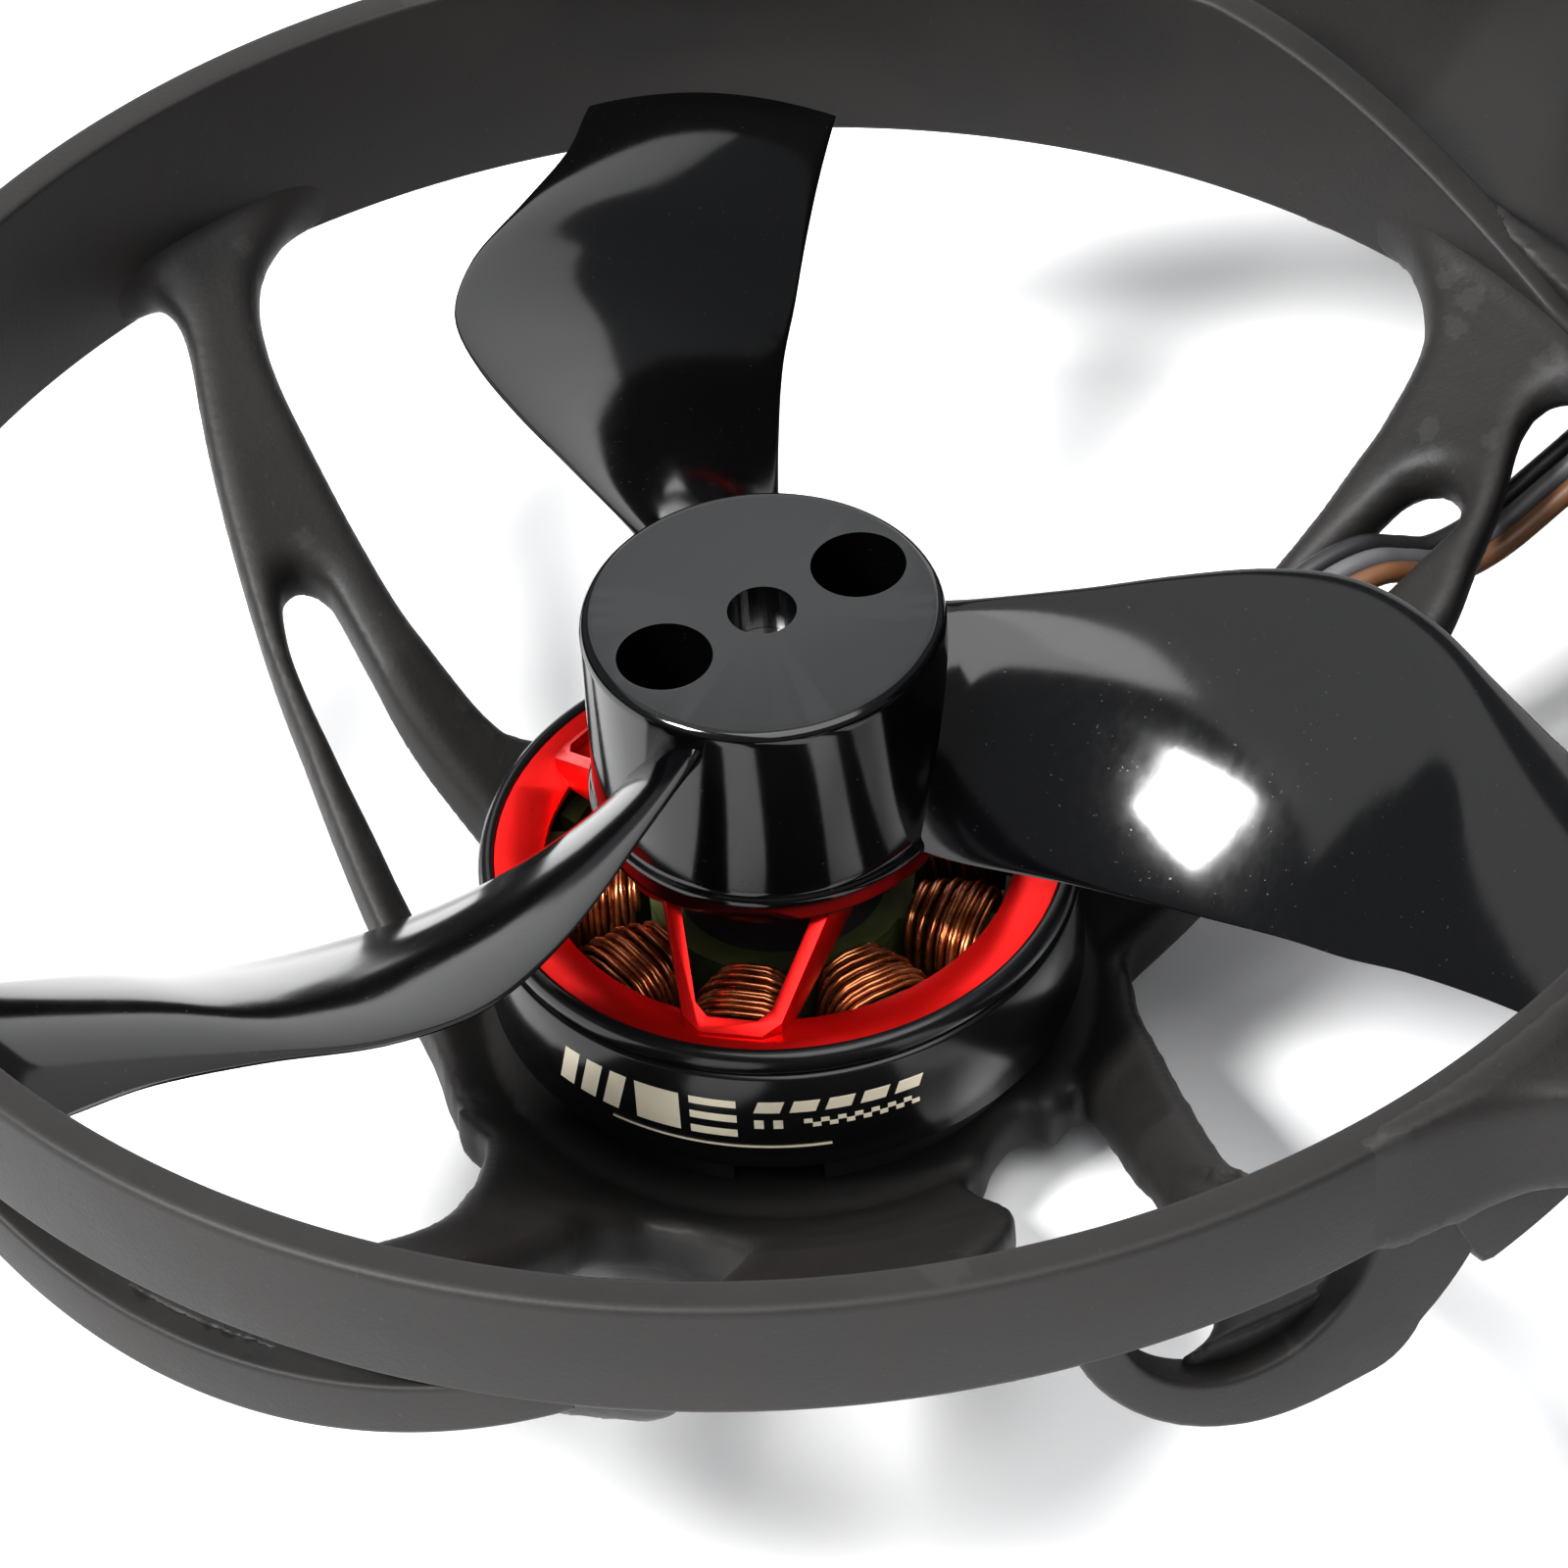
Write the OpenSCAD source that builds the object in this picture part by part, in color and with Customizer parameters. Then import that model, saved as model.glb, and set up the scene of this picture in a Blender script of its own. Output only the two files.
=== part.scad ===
// Small ducted quadcopter for first-person racing, with four brushless motors.
// Nose toward -Y, left side toward +X, standing on the battery tray at Z = 0.
// The front right corner is drawn; the other corners are its mirror images.

/* [Frame] */
// Distance between neighbouring motor axes
motor_pitch = 53; // [50:0.5:60]
// Inner radius of a duct
duct_r = 21.1; // [20.5:0.1:24]
// Thickness of a duct wall
duct_wall = 0.9; // [0.8:0.05:1.4]
// Height of the duct rim above the ground
rim_z = 16; // [15:0.5:20]
// Height of a duct wall on its inboard side
duct_h = 5.5; // [5:0.1:7]
// Height of a duct wall above the foot loops
band_h = 3; // [2.5:0.1:4]
// Turn of the arms, motor and blades about the motor axis
corner_turn = 32; // [0:1:90]
// Thickness of the motor seat and the arms
arm_t = 1.6; // [1.2:0.1:2.5]
// Thickness of the centre deck
deck_t = 1.7; // [1:0.1:3]

/* [Motor] */
// Outer radius of the bell
bell_r = 6.75; // [6.5:0.05:7.5]
// Height of the motor seat's top face above the ground
seat_z = 2.4; // [2.4:0.1:5]
// Radius of the stator
stator_r = 5.5; // [5:0.05:6]
// Height of the lamination stack
stack_h = 2; // [1.5:0.1:4]
// Diameter of the motor shaft
shaft_d = 1.5; // [1:0.5:2]
// Radius of the circle through the mounting screws
screw_circle = 3.3; // [3:0.1:4]
// Number of coils
coils = 9; // [9:3:12]
// Number of magnets
magnets_n = 12; // [12:2:14]

/* [Propeller] */
// Propeller radius
prop_r = 19.8; // [18:0.1:20]
// Hub radius
hub_r = 4; // [3:0.1:4.5]
// Hub height
hub_h = 5.5; // [4:0.1:7]
// Distance between the two side holes of the hub
hub_pitch = 5; // [4:0.1:6]
// Blade thickness at the root
blade_t = 0.9; // [0.5:0.05:1.2]

/* [Electronics] */
// Side of the square board
board_w = 28; // [26:0.5:30]
// Distance from the centre to each board hole
board_hole = 17; // [17:0.1:19]
// Board thickness
board_t = 0.8; // [0.6:0.1:1.6]

/* [Battery] */
// Battery width
batt_w = 17.5; // [12:0.5:18]
// Battery length
batt_l = 46; // [40:1:64]
// Battery height
batt_h = 7; // [6:0.5:8]
// Length of the tray
tray_l = 24; // [20:1:26]
// Wall of the tray
tray_wall = 1; // [0.8:0.1:1.5]

/* [Canopy and camera] */
// Canopy width
canopy_w = 19; // [16:0.5:22]
// Canopy wall
canopy_wall = 0.8; // [0.6:0.1:1.2]
// Height of the canopy roof above the ground
canopy_top = 31.5; // [30:0.5:38]
// Camera width
cam_w = 13; // [11:0.5:14]
// Upward tilt of the camera at rest
cam_tilt = 20; // [0:1:40]
// Lens radius
lens_r = 4; // [3:0.1:5]

/* [Hidden] */
$fn = 96;
CORNERS = ["front_right", "front_left", "rear_right", "rear_left"];
CORNER_PARTS = ["duct", "motor_base", "bearings", "stator_core", "windings", "motor_leads",
    "bell_ring", "bell_cap", "magnets", "shaft", "propeller"];
CENTRE_PARTS = ["centre_deck", "battery_tray", "battery", "flight_controller", "board_parts",
    "usb_port", "grommets", "canopy", "canopy_screws", "camera_body", "camera_lens",
    "antenna", "boot_button", "motor_screws"];

nylon = [0.13, 0.13, 0.13];
gloss_black = [0.04, 0.04, 0.045];
anodised_red = [0.85, 0.06, 0.05];
copper = [0.72, 0.38, 0.2];
steel = [0.7, 0.71, 0.72];

half_pitch = motor_pitch / 2;
duct_out = duct_r + duct_wall;
wall_bottom = rim_z - duct_h;
wall_lowest = rim_z - 7;
band_bottom = rim_z - band_h;
deck_top = wall_bottom + deck_t;
seat_r = bell_r - 0.35;
base_top = seat_z + 0.9;
bell_bottom = base_top + 0.4;
bell_top = bell_bottom + 3.5;
stack_z = base_top + 0.8;
magnet_t = 0.5;
magnet_r = bell_r - 1;
magnet_top = bell_bottom + 3;
shaft_r = shaft_d / 2;
bearing_r = 2;
bearing_h = 1.3;
running_gap = 0.03;
tube_r = bearing_r + 0.4;
tube_top = stack_z + stack_h + 0.9;
screw_r = 0.7;
hub_z = bell_top + 1.5;
hub_top = hub_z + hub_h;
hub_turn = 30;
blade_turn = 105;
tooth_turn = -104;
spoke_turn = -103;
lead_turn = 25;
board_z = deck_top + 0.8;
board_top = board_z + board_t;
lug_z = board_top + 0.6;
lug_t = 1;
tray_floor = 0.8;
batt_z = tray_floor + 0.15;
cam_y = -14.5;
cam_z = 24.5;
cam_pin_r = 0.8;
cheek_x = cam_w / 2 + 0.25;
eps = 0.01;

// 1 for the left and rear corners, which are mirrored, 0 for the right and front ones
function left_side(c) = c == "front_left" || c == "rear_left" ? 1 : 0;
function rear_side(c) = c == "rear_right" || c == "rear_left" ? 1 : 0;
function pol(r, a) = [r * cos(a), r * sin(a)];
// Points of an arc about c, from angle a0 to a1, in n steps
function arc(c, r, a0, a1, n) = [for (i = [0:n]) c + pol(r, a0 + (a1 - a0) * i / n)];

// Puts the front right corner's shape at the named corner
module at_corner(c) {
    translate([(2 * left_side(c) - 1) * half_pitch, (2 * rear_side(c) - 1) * half_pitch, 0])
        mirror([left_side(c), 0, 0])
            mirror([0, rear_side(c), 0])
                children();
}

// Stands a flat outline up against the duct wall at angle a: X runs along the wall, Y is height
module radial(a) {
    rotate([0, 0, a])
        rotate([90, 0, 90])
            translate([0, 0, duct_r - 5])
                linear_extrude(8)
                    children();
}

// Round tube through points that lie in one upright plane; side is level and square to that plane
function unit(v) = v / norm(v);
function tangent(p, i) = unit(p[min(i + 1, len(p) - 1)] - p[max(i - 1, 0)]);
module tube(pts, side, r, n = 8) {
    rings = [for (i = [0:len(pts) - 1])
        let (across = cross(side, tangent(pts, i)))
            [for (k = [0:n - 1]) pts[i] + r * cos(360 * k / n) * side + r * sin(360 * k / n) * across]];
    last = (len(pts) - 1) * n;
    polyhedron(
        points = [for (ring = rings) each ring],
        faces = concat(
            [[for (k = [n - 1:-1:0]) k]],
            [for (i = [0:len(pts) - 2]) for (k = [0:n - 1])
                [i * n + k, i * n + (k + 1) % n, (i + 1) * n + (k + 1) % n, (i + 1) * n + k]],
            [[for (k = [0:n - 1]) last + k]]));
}

// ---------- duct ----------

// Thin crescent that drops from the wall to carry the outer arms
module front_crescent() {
    half = 9.1;
    drop = 2.6;
    slot_half = 6.4;
    slot_drop = 1.1;
    r_big = (half * half + drop * drop) / (2 * drop);
    r_slot = (slot_half * slot_half + slot_drop * slot_drop) / (2 * slot_drop);
    difference() {
        intersection() {
            translate([0, band_bottom - drop + r_big])
                circle(r_big, $fn = 160);
            translate([-half - 1, band_bottom - drop - 1])
                square([2 * half + 2, drop + 2]);
        }
        translate([0, band_bottom - slot_drop + r_slot])
            circle(r_slot, $fn = 160);
    }
}

// U-shaped foot loop beside the web, with its finger-sized hole
module side_loop() {
    bottom = rim_z - 6.6;
    corner_r = 1.3;
    leg_x = 3.2;
    difference() {
        intersection() {
            union() {
                translate([0.4, bottom + 5.3])
                    circle(5.3);
                translate([leg_x - corner_r, bottom + corner_r])
                    circle(corner_r);
                translate([0.4, bottom])
                    square([leg_x - corner_r - 0.4, 2 * corner_r]);
                translate([0.4, bottom + corner_r])
                    square([leg_x - 0.4, 6]);
            }
            translate([-5, bottom - 1])
                square([leg_x + 5, band_bottom - bottom + 2]);
        }
        intersection() {
            translate([-0.9, bottom + 4.6])
                circle(2.9);
            translate([-4, bottom])
                square([4.6, band_bottom - bottom + 2]);
        }
    }
}

// Outlines of the arms from above, round the motor axis
OUTER_FORK = [
    [-13.4, 18], [-13.05, 15], [-12.55, 11.6], [-11.6, 7.7], [-10.55, 4.6], [-9.4, 1.6], [-8.2, -1.2],
    [-7.3, -3.6], [-4, -2], [-4, 6.6], [-6.2, 7.3], [-7.3, 8.1], [-8.25, 9.1], [-9.1, 10.45],
    [-9.9, 11.9], [-10.75, 13.6], [-11.2, 14.95], [-11.35, 16.5], [-11.2, 18.8]];
FORK_GAP = [
    [-11.1, 8.9], [-10.95, 9.4], [-10.6, 9.65], [-10.2, 9.55], [-9.9, 9.2], [-8.9, 7.4], [-8.2, 6.5],
    [-7.4, 5.75], [-6.8, 5.2], [-6.4, 4.4], [-6.7, 2.8], [-7.3, 1.8], [-8.1, 1.7], [-8.6, 2.5],
    [-9.2, 3.75], [-9.9, 5.1], [-10.5, 6.4], [-10.95, 7.7]];
FRONT_ARM = [
    [-2, 0], [-7.3, -3.5], [-7, -4.8], [-7.05, -6.45], [-7.3, -8.9], [-7.9, -10.8], [-9.2, -12.6],
    [-11.6, -15], [-14.8, -17.8], [-12.4, -19.8], [-9.2, -16.6], [-6.9, -13.6], [-5.15, -11.1],
    [-4.6, -9.1], [-3.4, -7.8], [0, -3]];
WIDE_ARM = [
    [-4.4, -4], [-3.5, -7.7], [-2.2, -8.8], [-1.3, -10.7], [-2.3, -13.6], [-4.6, -16.9], [-8.6, -20.6],
    [-5.4, -21.8], [-1, -18], [2.6, -14.6], [4.45, -11.4], [3.9, -8], [3.65, -6.2], [4.1, -5], [3, 0]];
SIDE_ARM = [
    [3, 1], [5.2, -4], [6.3, -3.6], [6.6, -4.3], [6.9, -6.6], [7.15, -9.5], [7.5, -11.3], [8.6, -20.6],
    [10.4, -19.8], [9, -11.1], [8.55, -8], [8.2, -4.4], [7.85, -2], [7.5, 0.2], [5, 2]];
INNER_ARM = [
    [16.6, 14.6], [15.75, 11.6], [14.7, 10], [13.8, 9.1], [12.2, 7.8], [9.6, 6.2], [6.4, 5.4], [2, 3],
    [5, -1], [7.4, 0.2], [9.4, 0.75], [12.4, 1.9], [15.2, 3.8], [16.3, 5.5], [17, 6.75], [17.9, 8.7],
    [19.8, 9.9], [19.4, 11.6]];

module arm_outline() {
    difference() {
        offset(r = -0.5, $fn = 24)
            offset(r = 0.5, $fn = 24) {
                circle(seat_r, $fn = 72);
                for (shape = [OUTER_FORK, FRONT_ARM, WIDE_ARM, SIDE_ARM, INNER_ARM])
                    polygon(shape);
            }
        polygon(FORK_GAP);
    }
}

// Conical shell that all the arms lie in
module arm_shell() {
    rise = [
        [5, seat_z - arm_t], [7.4, seat_z - arm_t], [12, 5], [17, 8.1], [20.3, 9.9],
        [duct_out - 0.05, 10.2]];
    rotate_extrude()
        polygon(concat(
            [[0, seat_z - arm_t]],
            rise,
            [[duct_out - 0.05, 12.2], [20.2, 11.2], [16.6, 9.4], [11.6, 6.4], [7, seat_z], [0, seat_z]]));
}

// Everything below the band that is not wall: the wall is deep inboard, shallow outboard
module duct_underside() {
    difference() {
        rotate_extrude()
            translate([duct_r - 0.8, wall_lowest - 1])
                square([duct_wall + 1.6, band_bottom - wall_lowest + 1]);
        rotate([0, 0, -20])
            rotate_extrude(angle = 215)
                translate([duct_r - 1.6, wall_bottom])
                    square([duct_wall + 3.2, duct_h]);
        // the wall's lower edge rises toward the front
        intersection() {
            radial(210)
                polygon([[-7, wall_bottom - 0.35], [-7, band_bottom + 0.5], [5.5, band_bottom + 0.5]]);
            rotate([0, 0, 194])
                translate([0, 0, 5])
                    cube([30, 30, 10]);
        }
        radial(-95)
            front_crescent();
        radial(-32)
            side_loop();
    }
}

module duct(c) {
    color(nylon)
        at_corner(c)
            difference() {
                union() {
                    difference() {
                        rotate_extrude()
                            polygon([[duct_r, wall_lowest], [duct_out, wall_lowest], [duct_out, rim_z - 0.2],
                                [duct_out - 0.2, rim_z], [duct_r + 0.15, rim_z], [duct_r, rim_z - 0.15]]);
                        duct_underside();
                    }
                    intersection() {
                        arm_shell();
                        rotate([0, 0, corner_turn])
                            linear_extrude(14)
                                arm_outline();
                    }
                }
                // inboard dip of the wall, level with the deck
                radial(45)
                    polygon([[-15.2, rim_z + 1], [-15.2, rim_z - 0.4], [-6, deck_top + 0.1],
                        [6, deck_top + 0.1], [15.2, rim_z - 0.4], [15.2, rim_z + 1]]);
                // bore under the shaft and holes for the motor screws
                translate([0, 0, seat_z - arm_t - 1])
                    cylinder(h = arm_t + 2, r = 2.2);
                for (k = [0:2])
                    translate(concat(pol(screw_circle, corner_turn + 120 * k), 0))
                        cylinder(h = 6, r = screw_r + 0.1, $fn = 32);
                // slot for the motor leads
                rotate([0, 0, corner_turn + lead_turn])
                    translate([13.4, -0.95, 5])
                        cube([4.1, 1.9, 8]);
            }
}

// ---------- motor ----------

module motor_base(c) {
    color(gloss_black)
        at_corner(c)
            difference() {
                union() {
                    translate([0, 0, seat_z])
                        cylinder(h = base_top - seat_z, r = 5.9);
                    translate([0, 0, seat_z])
                        cylinder(h = tube_top - seat_z, r = tube_r);
                }
                translate([0, 0, seat_z - 1])
                    cylinder(h = 10, r = bearing_r);
                for (k = [0:2]) {
                    rotate([0, 0, corner_turn + 120 * k])
                        translate([screw_circle, 0, seat_z - 1])
                            cylinder(h = 3, r = screw_r, $fn = 32);
                    rotate([0, 0, corner_turn + lead_turn + 120 * k])
                        translate([4, -1, seat_z - 1])
                            cube([3, 2, 3]);
                }
            }
}

module bearings(c) {
    color(steel)
        at_corner(c)
            for (z = [seat_z + 0.2, tube_top - bearing_h])
                translate([0, 0, z])
                    difference() {
                        cylinder(h = bearing_h, r = bearing_r);
                        translate([0, 0, -1])
                            cylinder(h = bearing_h + 2, r = shaft_r + running_gap);
                    }
}

module stator_core(c) {
    neck_in = tube_r;
    neck_out = 3;
    shoe = 0.45;
    color([0.3, 0.33, 0.25])
        at_corner(c)
            translate([0, 0, stack_z])
                linear_extrude(stack_h)
                    difference() {
                        union() {
                            circle(neck_out);
                            for (k = [0:coils - 1])
                                rotate(corner_turn + tooth_turn + 360 * k / coils) {
                                    translate([neck_out - 0.3, -0.4])
                                        square([stator_r - neck_out, 0.8]);
                                    intersection() {
                                        difference() {
                                            circle(stator_r);
                                            circle(stator_r - shoe);
                                        }
                                        translate([stator_r - 1, -1.6])
                                            square([2, 3.2]);
                                    }
                                }
                        }
                        circle(neck_in);
                    }
}

module windings(c) {
    coil_in = 3.05;
    coil_out = stator_r - 0.5;
    over = 0.5;
    color(copper)
        at_corner(c)
            for (k = [0:coils - 1])
                rotate([0, 0, corner_turn + tooth_turn + 360 * k / coils])
                    difference() {
                        translate([0, 0, stack_z - over])
                            linear_extrude(stack_h + 2 * over)
                                intersection() {
                                    circle(coil_out);
                                    polygon([
                                        [coil_in, -0.95], [stator_r, -1.55],
                                        [stator_r, 1.55], [coil_in, 0.95]]);
                                }
                        translate([coil_in - 1, -0.4, stack_z])
                            cube([4, 0.8, stack_h]);
                    }
}

// Centre line of a lead as distance from the motor axis and height: out along its arm, down through
// the slot, in under the wall and the deck, then up through the deck's opening to the board
LEAD_RUN = [
    [4.6, 2.9], [6.2, 2.9], [7.4, 3.35], [9.4, 5.1], [11.4, 6.8], [13, 7.75], [14.2, 8.35], [15.4, 8.45],
    [16.4, 8], [17.3, 7.6], [18.6, 7.8], [20.4, 8.7], [22.4, 9.7], [24.4, 10.05], [26.8, 10.05],
    [27.8, 10.2], [28.3, 10.7], [28.4, 11.5], [28.4, 12.8]];
lead_r = 0.25;
lead_gap = 0.55;

module motor_leads(c) {
    a = corner_turn + lead_turn;
    side = concat(pol(1, a + 90), 0);
    color([0.1, 0.1, 0.11])
        at_corner(c)
            for (k = [-1:1])
                tube([for (p = LEAD_RUN) concat(pol(p[0], a), p[1]) + k * lead_gap * side], side, lead_r);
}

module bell_ring(c) {
    color(gloss_black)
        at_corner(c)
            rotate_extrude()
                polygon([[bell_r - magnet_t, bell_bottom], [bell_r, bell_bottom], [bell_r, bell_top - 0.42],
                    [bell_r - 0.08, bell_top - 0.34], [bell_r - 0.08, bell_top - 0.26],
                    [bell_r, bell_top - 0.18], [bell_r - 0.14, bell_top], [bell_r - 0.33, bell_top],
                    [bell_r - 0.37, bell_top - 0.08], [bell_r - 0.37, magnet_top],
                    [bell_r - magnet_t, magnet_top]]);
}

module bell_cap(c) {
    ring_out = bell_r - 0.37;
    ring_in = 5.3;
    hub = 2.9;
    hub_bottom = hub_z - 0.9;
    color(anodised_red)
        at_corner(c)
            difference() {
                union() {
                    // inward-sloping rim
                    rotate_extrude()
                        polygon([[ring_in, magnet_top], [ring_out, magnet_top], [ring_out, bell_top - 0.08],
                            [ring_in, bell_top - 0.28]]);
                    // hub with an ear under each of the propeller's side holes
                    translate([0, 0, hub_bottom])
                        linear_extrude(hub_z - hub_bottom) {
                            circle(hub);
                            for (s = [-1, 1])
                                translate(s * pol(hub_pitch / 2, corner_turn + hub_turn))
                                    circle(1.15, $fn = 48);
                        }
                    translate([0, 0, tube_top + 0.15])
                        cylinder(h = hub_z - tube_top - 0.15, r = 1.4);
                    // open spokes, each a pair of thin bars that slope down to the rim
                    for (k = [0:2])
                        rotate([0, 0, corner_turn + spoke_turn + 120 * k])
                            intersection() {
                                rotate([90, 0, 0])
                                    translate([0, 0, -5])
                                        linear_extrude(10)
                                            polygon([
                                                [1.8, hub_bottom + 0.35], [1.8, hub_z - 0.1],
                                                [3.6, hub_z - 0.1], [6, bell_top - 0.05],
                                                [6, magnet_top + 0.12],
                                                [5.2, magnet_top + 0.12]]);
                                linear_extrude(20)
                                    difference() {
                                        polygon([[1.8, -2.4], [5.7, -1.1], [6, -0.7], [6, 0.7],
                                            [5.7, 1.1], [1.8, 2.4]]);
                                        polygon([[1.5, -2.17], [5.45, -0.85], [5.7, -0.55],
                                            [5.7, 0.55], [5.45, 0.85], [1.5, 2.17]]);
                                    }
                            }
                }
                translate([0, 0, 5])
                    cylinder(h = 5, r = shaft_r);
                for (s = [-1, 1])
                    rotate([0, 0, corner_turn + hub_turn])
                        translate([s * hub_pitch / 2, 0, hub_bottom - 1])
                            cylinder(h = 3, r = 0.6, $fn = 32);
            }
}

module magnets(c) {
    arc_w = 360 / magnets_n - 3;
    color(steel)
        at_corner(c)
            for (k = [0:magnets_n - 1])
                rotate([0, 0, 360 * k / magnets_n])
                    rotate_extrude(angle = arc_w)
                        translate([magnet_r, bell_bottom + 0.1])
                            square([bell_r - magnet_t - magnet_r, magnet_top - bell_bottom - 0.1]);
}

module shaft(c) {
    shaft_bottom = seat_z - 1;
    color(steel)
        at_corner(c) {
            translate([0, 0, shaft_bottom])
                cylinder(h = hub_top - 1.2 - shaft_bottom, r = shaft_r);
            // retaining clip
            translate([0, 0, seat_z - 0.55])
                difference() {
                    cylinder(h = 0.4, r = 1.5);
                    translate([0, 0, -1])
                        cylinder(h = 2, r = shaft_r);
                }
        }
}

// ---------- propeller ----------

// Blade edges by radius: angle and height below the hub top for the leading and trailing edge
STATIONS = [
    [3.6, 24, 0.5, -29, 4.9], [5, 21.5, 0.45, -25, 4.8], [7, 20, 0.4, -21, 4.6], [9, 18.8, 0.3, -19.5, 4.3],
    [11, 17.5, 0.2, -19, 4], [12.8, 15, 0.2, -19.2, 3.6], [14.4, 10, 0.3, -20, 3.2],
    [16, 3, 0.5, -20.8, 2.8], [17.8, -2.5, 0.8, -21.6, 2.4], [prop_r, -5.5, 1.1, -22.5, 2]];
CHORD = [0, 0.04, 0.14, 0.3, 0.5, 0.72, 0.9, 1];

function blade_point(s, t, side) =
    let (a = s[1] + (s[3] - s[1]) * t,
         z = -s[2] - (s[4] - s[2]) * t + 0.55 * sin(180 * t) * (1 - s[0] / 40),
         thick = blade_t * (1 - 0.45 * s[0] / prop_r) * (0.22 + 0.78 * sqrt(sin(180 * pow(t, 0.8)))))
    concat(pol(s[0], a), z + side * thick / 2);

module blade() {
    n = len(CHORD);
    loop = concat([for (t = CHORD) [t, 1]], [for (i = [n - 1:-1:0]) [CHORD[i], -1]]);
    m = len(loop);
    last = (len(STATIONS) - 1) * m;
    polyhedron(
        points = [for (s = STATIONS) for (q = loop) blade_point(s, q[0], q[1])],
        faces = concat(
            [[for (k = [0:m - 1]) k]],
            [for (i = [0:len(STATIONS) - 2]) for (k = [0:m - 1]) each [
                [i * m + k, (i + 1) * m + k, (i + 1) * m + (k + 1) % m],
                [i * m + k, (i + 1) * m + (k + 1) % m, i * m + (k + 1) % m]]],
            [[for (k = [0:m - 1]) last + m - 1 - k]]));
}

module propeller(c) {
    bevel = 0.25;
    color(gloss_black)
        at_corner(c)
            difference() {
                union() {
                    rotate_extrude()
                        polygon([[0, hub_z], [hub_r + 0.12, hub_z], [hub_r + 0.12, hub_z + 0.6],
                            [hub_r, hub_z + 0.7], [hub_r, hub_top - bevel], [hub_r - bevel, hub_top],
                            [0, hub_top]]);
                    for (k = [0:2])
                        rotate([0, 0, corner_turn + blade_turn + 120 * k])
                            translate([0, 0, hub_top - 0.2])
                                blade();
                }
                translate([0, 0, hub_z - 1])
                    cylinder(h = hub_h + 2, r = shaft_r);
                for (s = [-1, 1])
                    rotate([0, 0, corner_turn + hub_turn])
                        translate([s * hub_pitch / 2, 0, hub_z - 1])
                            cylinder(h = hub_h + 2, r = 1.05, $fn = 48);
            }
}

// ---------- centre ----------

// Calls its children once for each of the four sides
module each_side() {
    for (k = [0:3])
        rotate([0, 0, 90 * k])
            children();
}

module duct_circles(r) {
    for (x = [-1, 1])
        for (y = [-1, 1])
            translate([x * half_pitch, y * half_pitch])
                circle(r, $fn = 160);
}

// Web between two ducts, on the side toward -Y
module web() {
    notch_r = 8.18;
    notch_y = -half_pitch - 13.9;
    intersection() {
        linear_extrude(rim_z)
            difference() {
                translate([-8, -36])
                    square([16, 22]);
                duct_circles(duct_out + 0.02);
                translate([0, notch_y])
                    circle(notch_r);
            }
        rotate([90, 0, 90])
            translate([0, 0, -10])
                linear_extrude(20)
                    polygon([[-36, band_bottom - 0.2], [-36, rim_z], [-28.5, rim_z], [-22, deck_top],
                        [-14, deck_top], [-14, wall_bottom], [-24, wall_bottom], [-28, band_bottom - 0.2]]);
    }
}

module centre_deck() {
    color(nylon)
        difference() {
            union() {
                each_side()
                    web();
                translate([0, 0, wall_bottom])
                    linear_extrude(deck_t)
                        difference() {
                            square(2 * 23.5, center = true);
                            duct_circles(duct_out + 0.02);
                        }
            }
            // opening under the board
            translate([0, 0, wall_bottom - 1])
                linear_extrude(deck_t + 2)
                    rotate(45)
                        offset(r = 2)
                            square(17, center = true);
            each_side()
                translate([0, -board_hole, wall_bottom - 1])
                    cylinder(h = deck_t + 2, r = screw_r, $fn = 32);
        }
}

module battery_tray() {
    inside = batt_w / 2 + 0.3;
    outside = inside + tray_wall;
    color(nylon)
        difference() {
            union() {
                for (s = [-1, 1])
                    translate([s > 0 ? inside : -outside, -tray_l / 2, 0])
                        cube([tray_wall, tray_l, wall_bottom]);
                translate([-outside, -tray_l / 2, 0])
                    cube([2 * outside, tray_l, tray_floor]);
                // lips over the battery
                for (s = [-1, 1])
                    translate([s > 0 ? inside - 1.4 : -inside, -tray_l / 2, batt_z + batt_h + 0.2])
                        cube([1.4, tray_l, 0.9]);
            }
            // side windows with round ends
            for (y = [-6, 6])
                translate([0, y, 4.6])
                    rotate([0, 90, 0])
                        translate([0, 0, -outside - 1])
                            linear_extrude(2 * outside + 2) {
                                square([3.2, 4.4], center = true);
                                for (s = [-1, 1])
                                    translate([0, 2.2 * s])
                                        circle(1.6, $fn = 32);
                            }
            // lightening slots through the floor
            for (x = [-4.5, 4.5])
                translate([x, 0, -1])
                    linear_extrude(tray_floor + 2)
                        square([5, tray_l - 6], center = true);
        }
}

module battery() {
    r = 1.2;
    color([0.16, 0.2, 0.32])
        translate([0, batt_l / 2, batt_z])
            rotate([90, 0, 0])
                linear_extrude(batt_l)
                    translate([0, batt_h / 2])
                        offset(r = r, $fn = 32)
                            square([batt_w - 2 * r, batt_h - 2 * r], center = true);
}

module board_outline() {
    rotate(45)
        offset(r = 1.5)
            square(board_w - 3, center = true);
    each_side()
        translate([0, -board_hole])
            circle(2.2, $fn = 48);
}

module flight_controller() {
    color([0.05, 0.07, 0.12])
        translate([0, 0, board_z])
            linear_extrude(board_t)
                difference() {
                    board_outline();
                    each_side()
                        translate([0, -board_hole])
                            circle(1.3, $fn = 48);
                }
}

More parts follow.
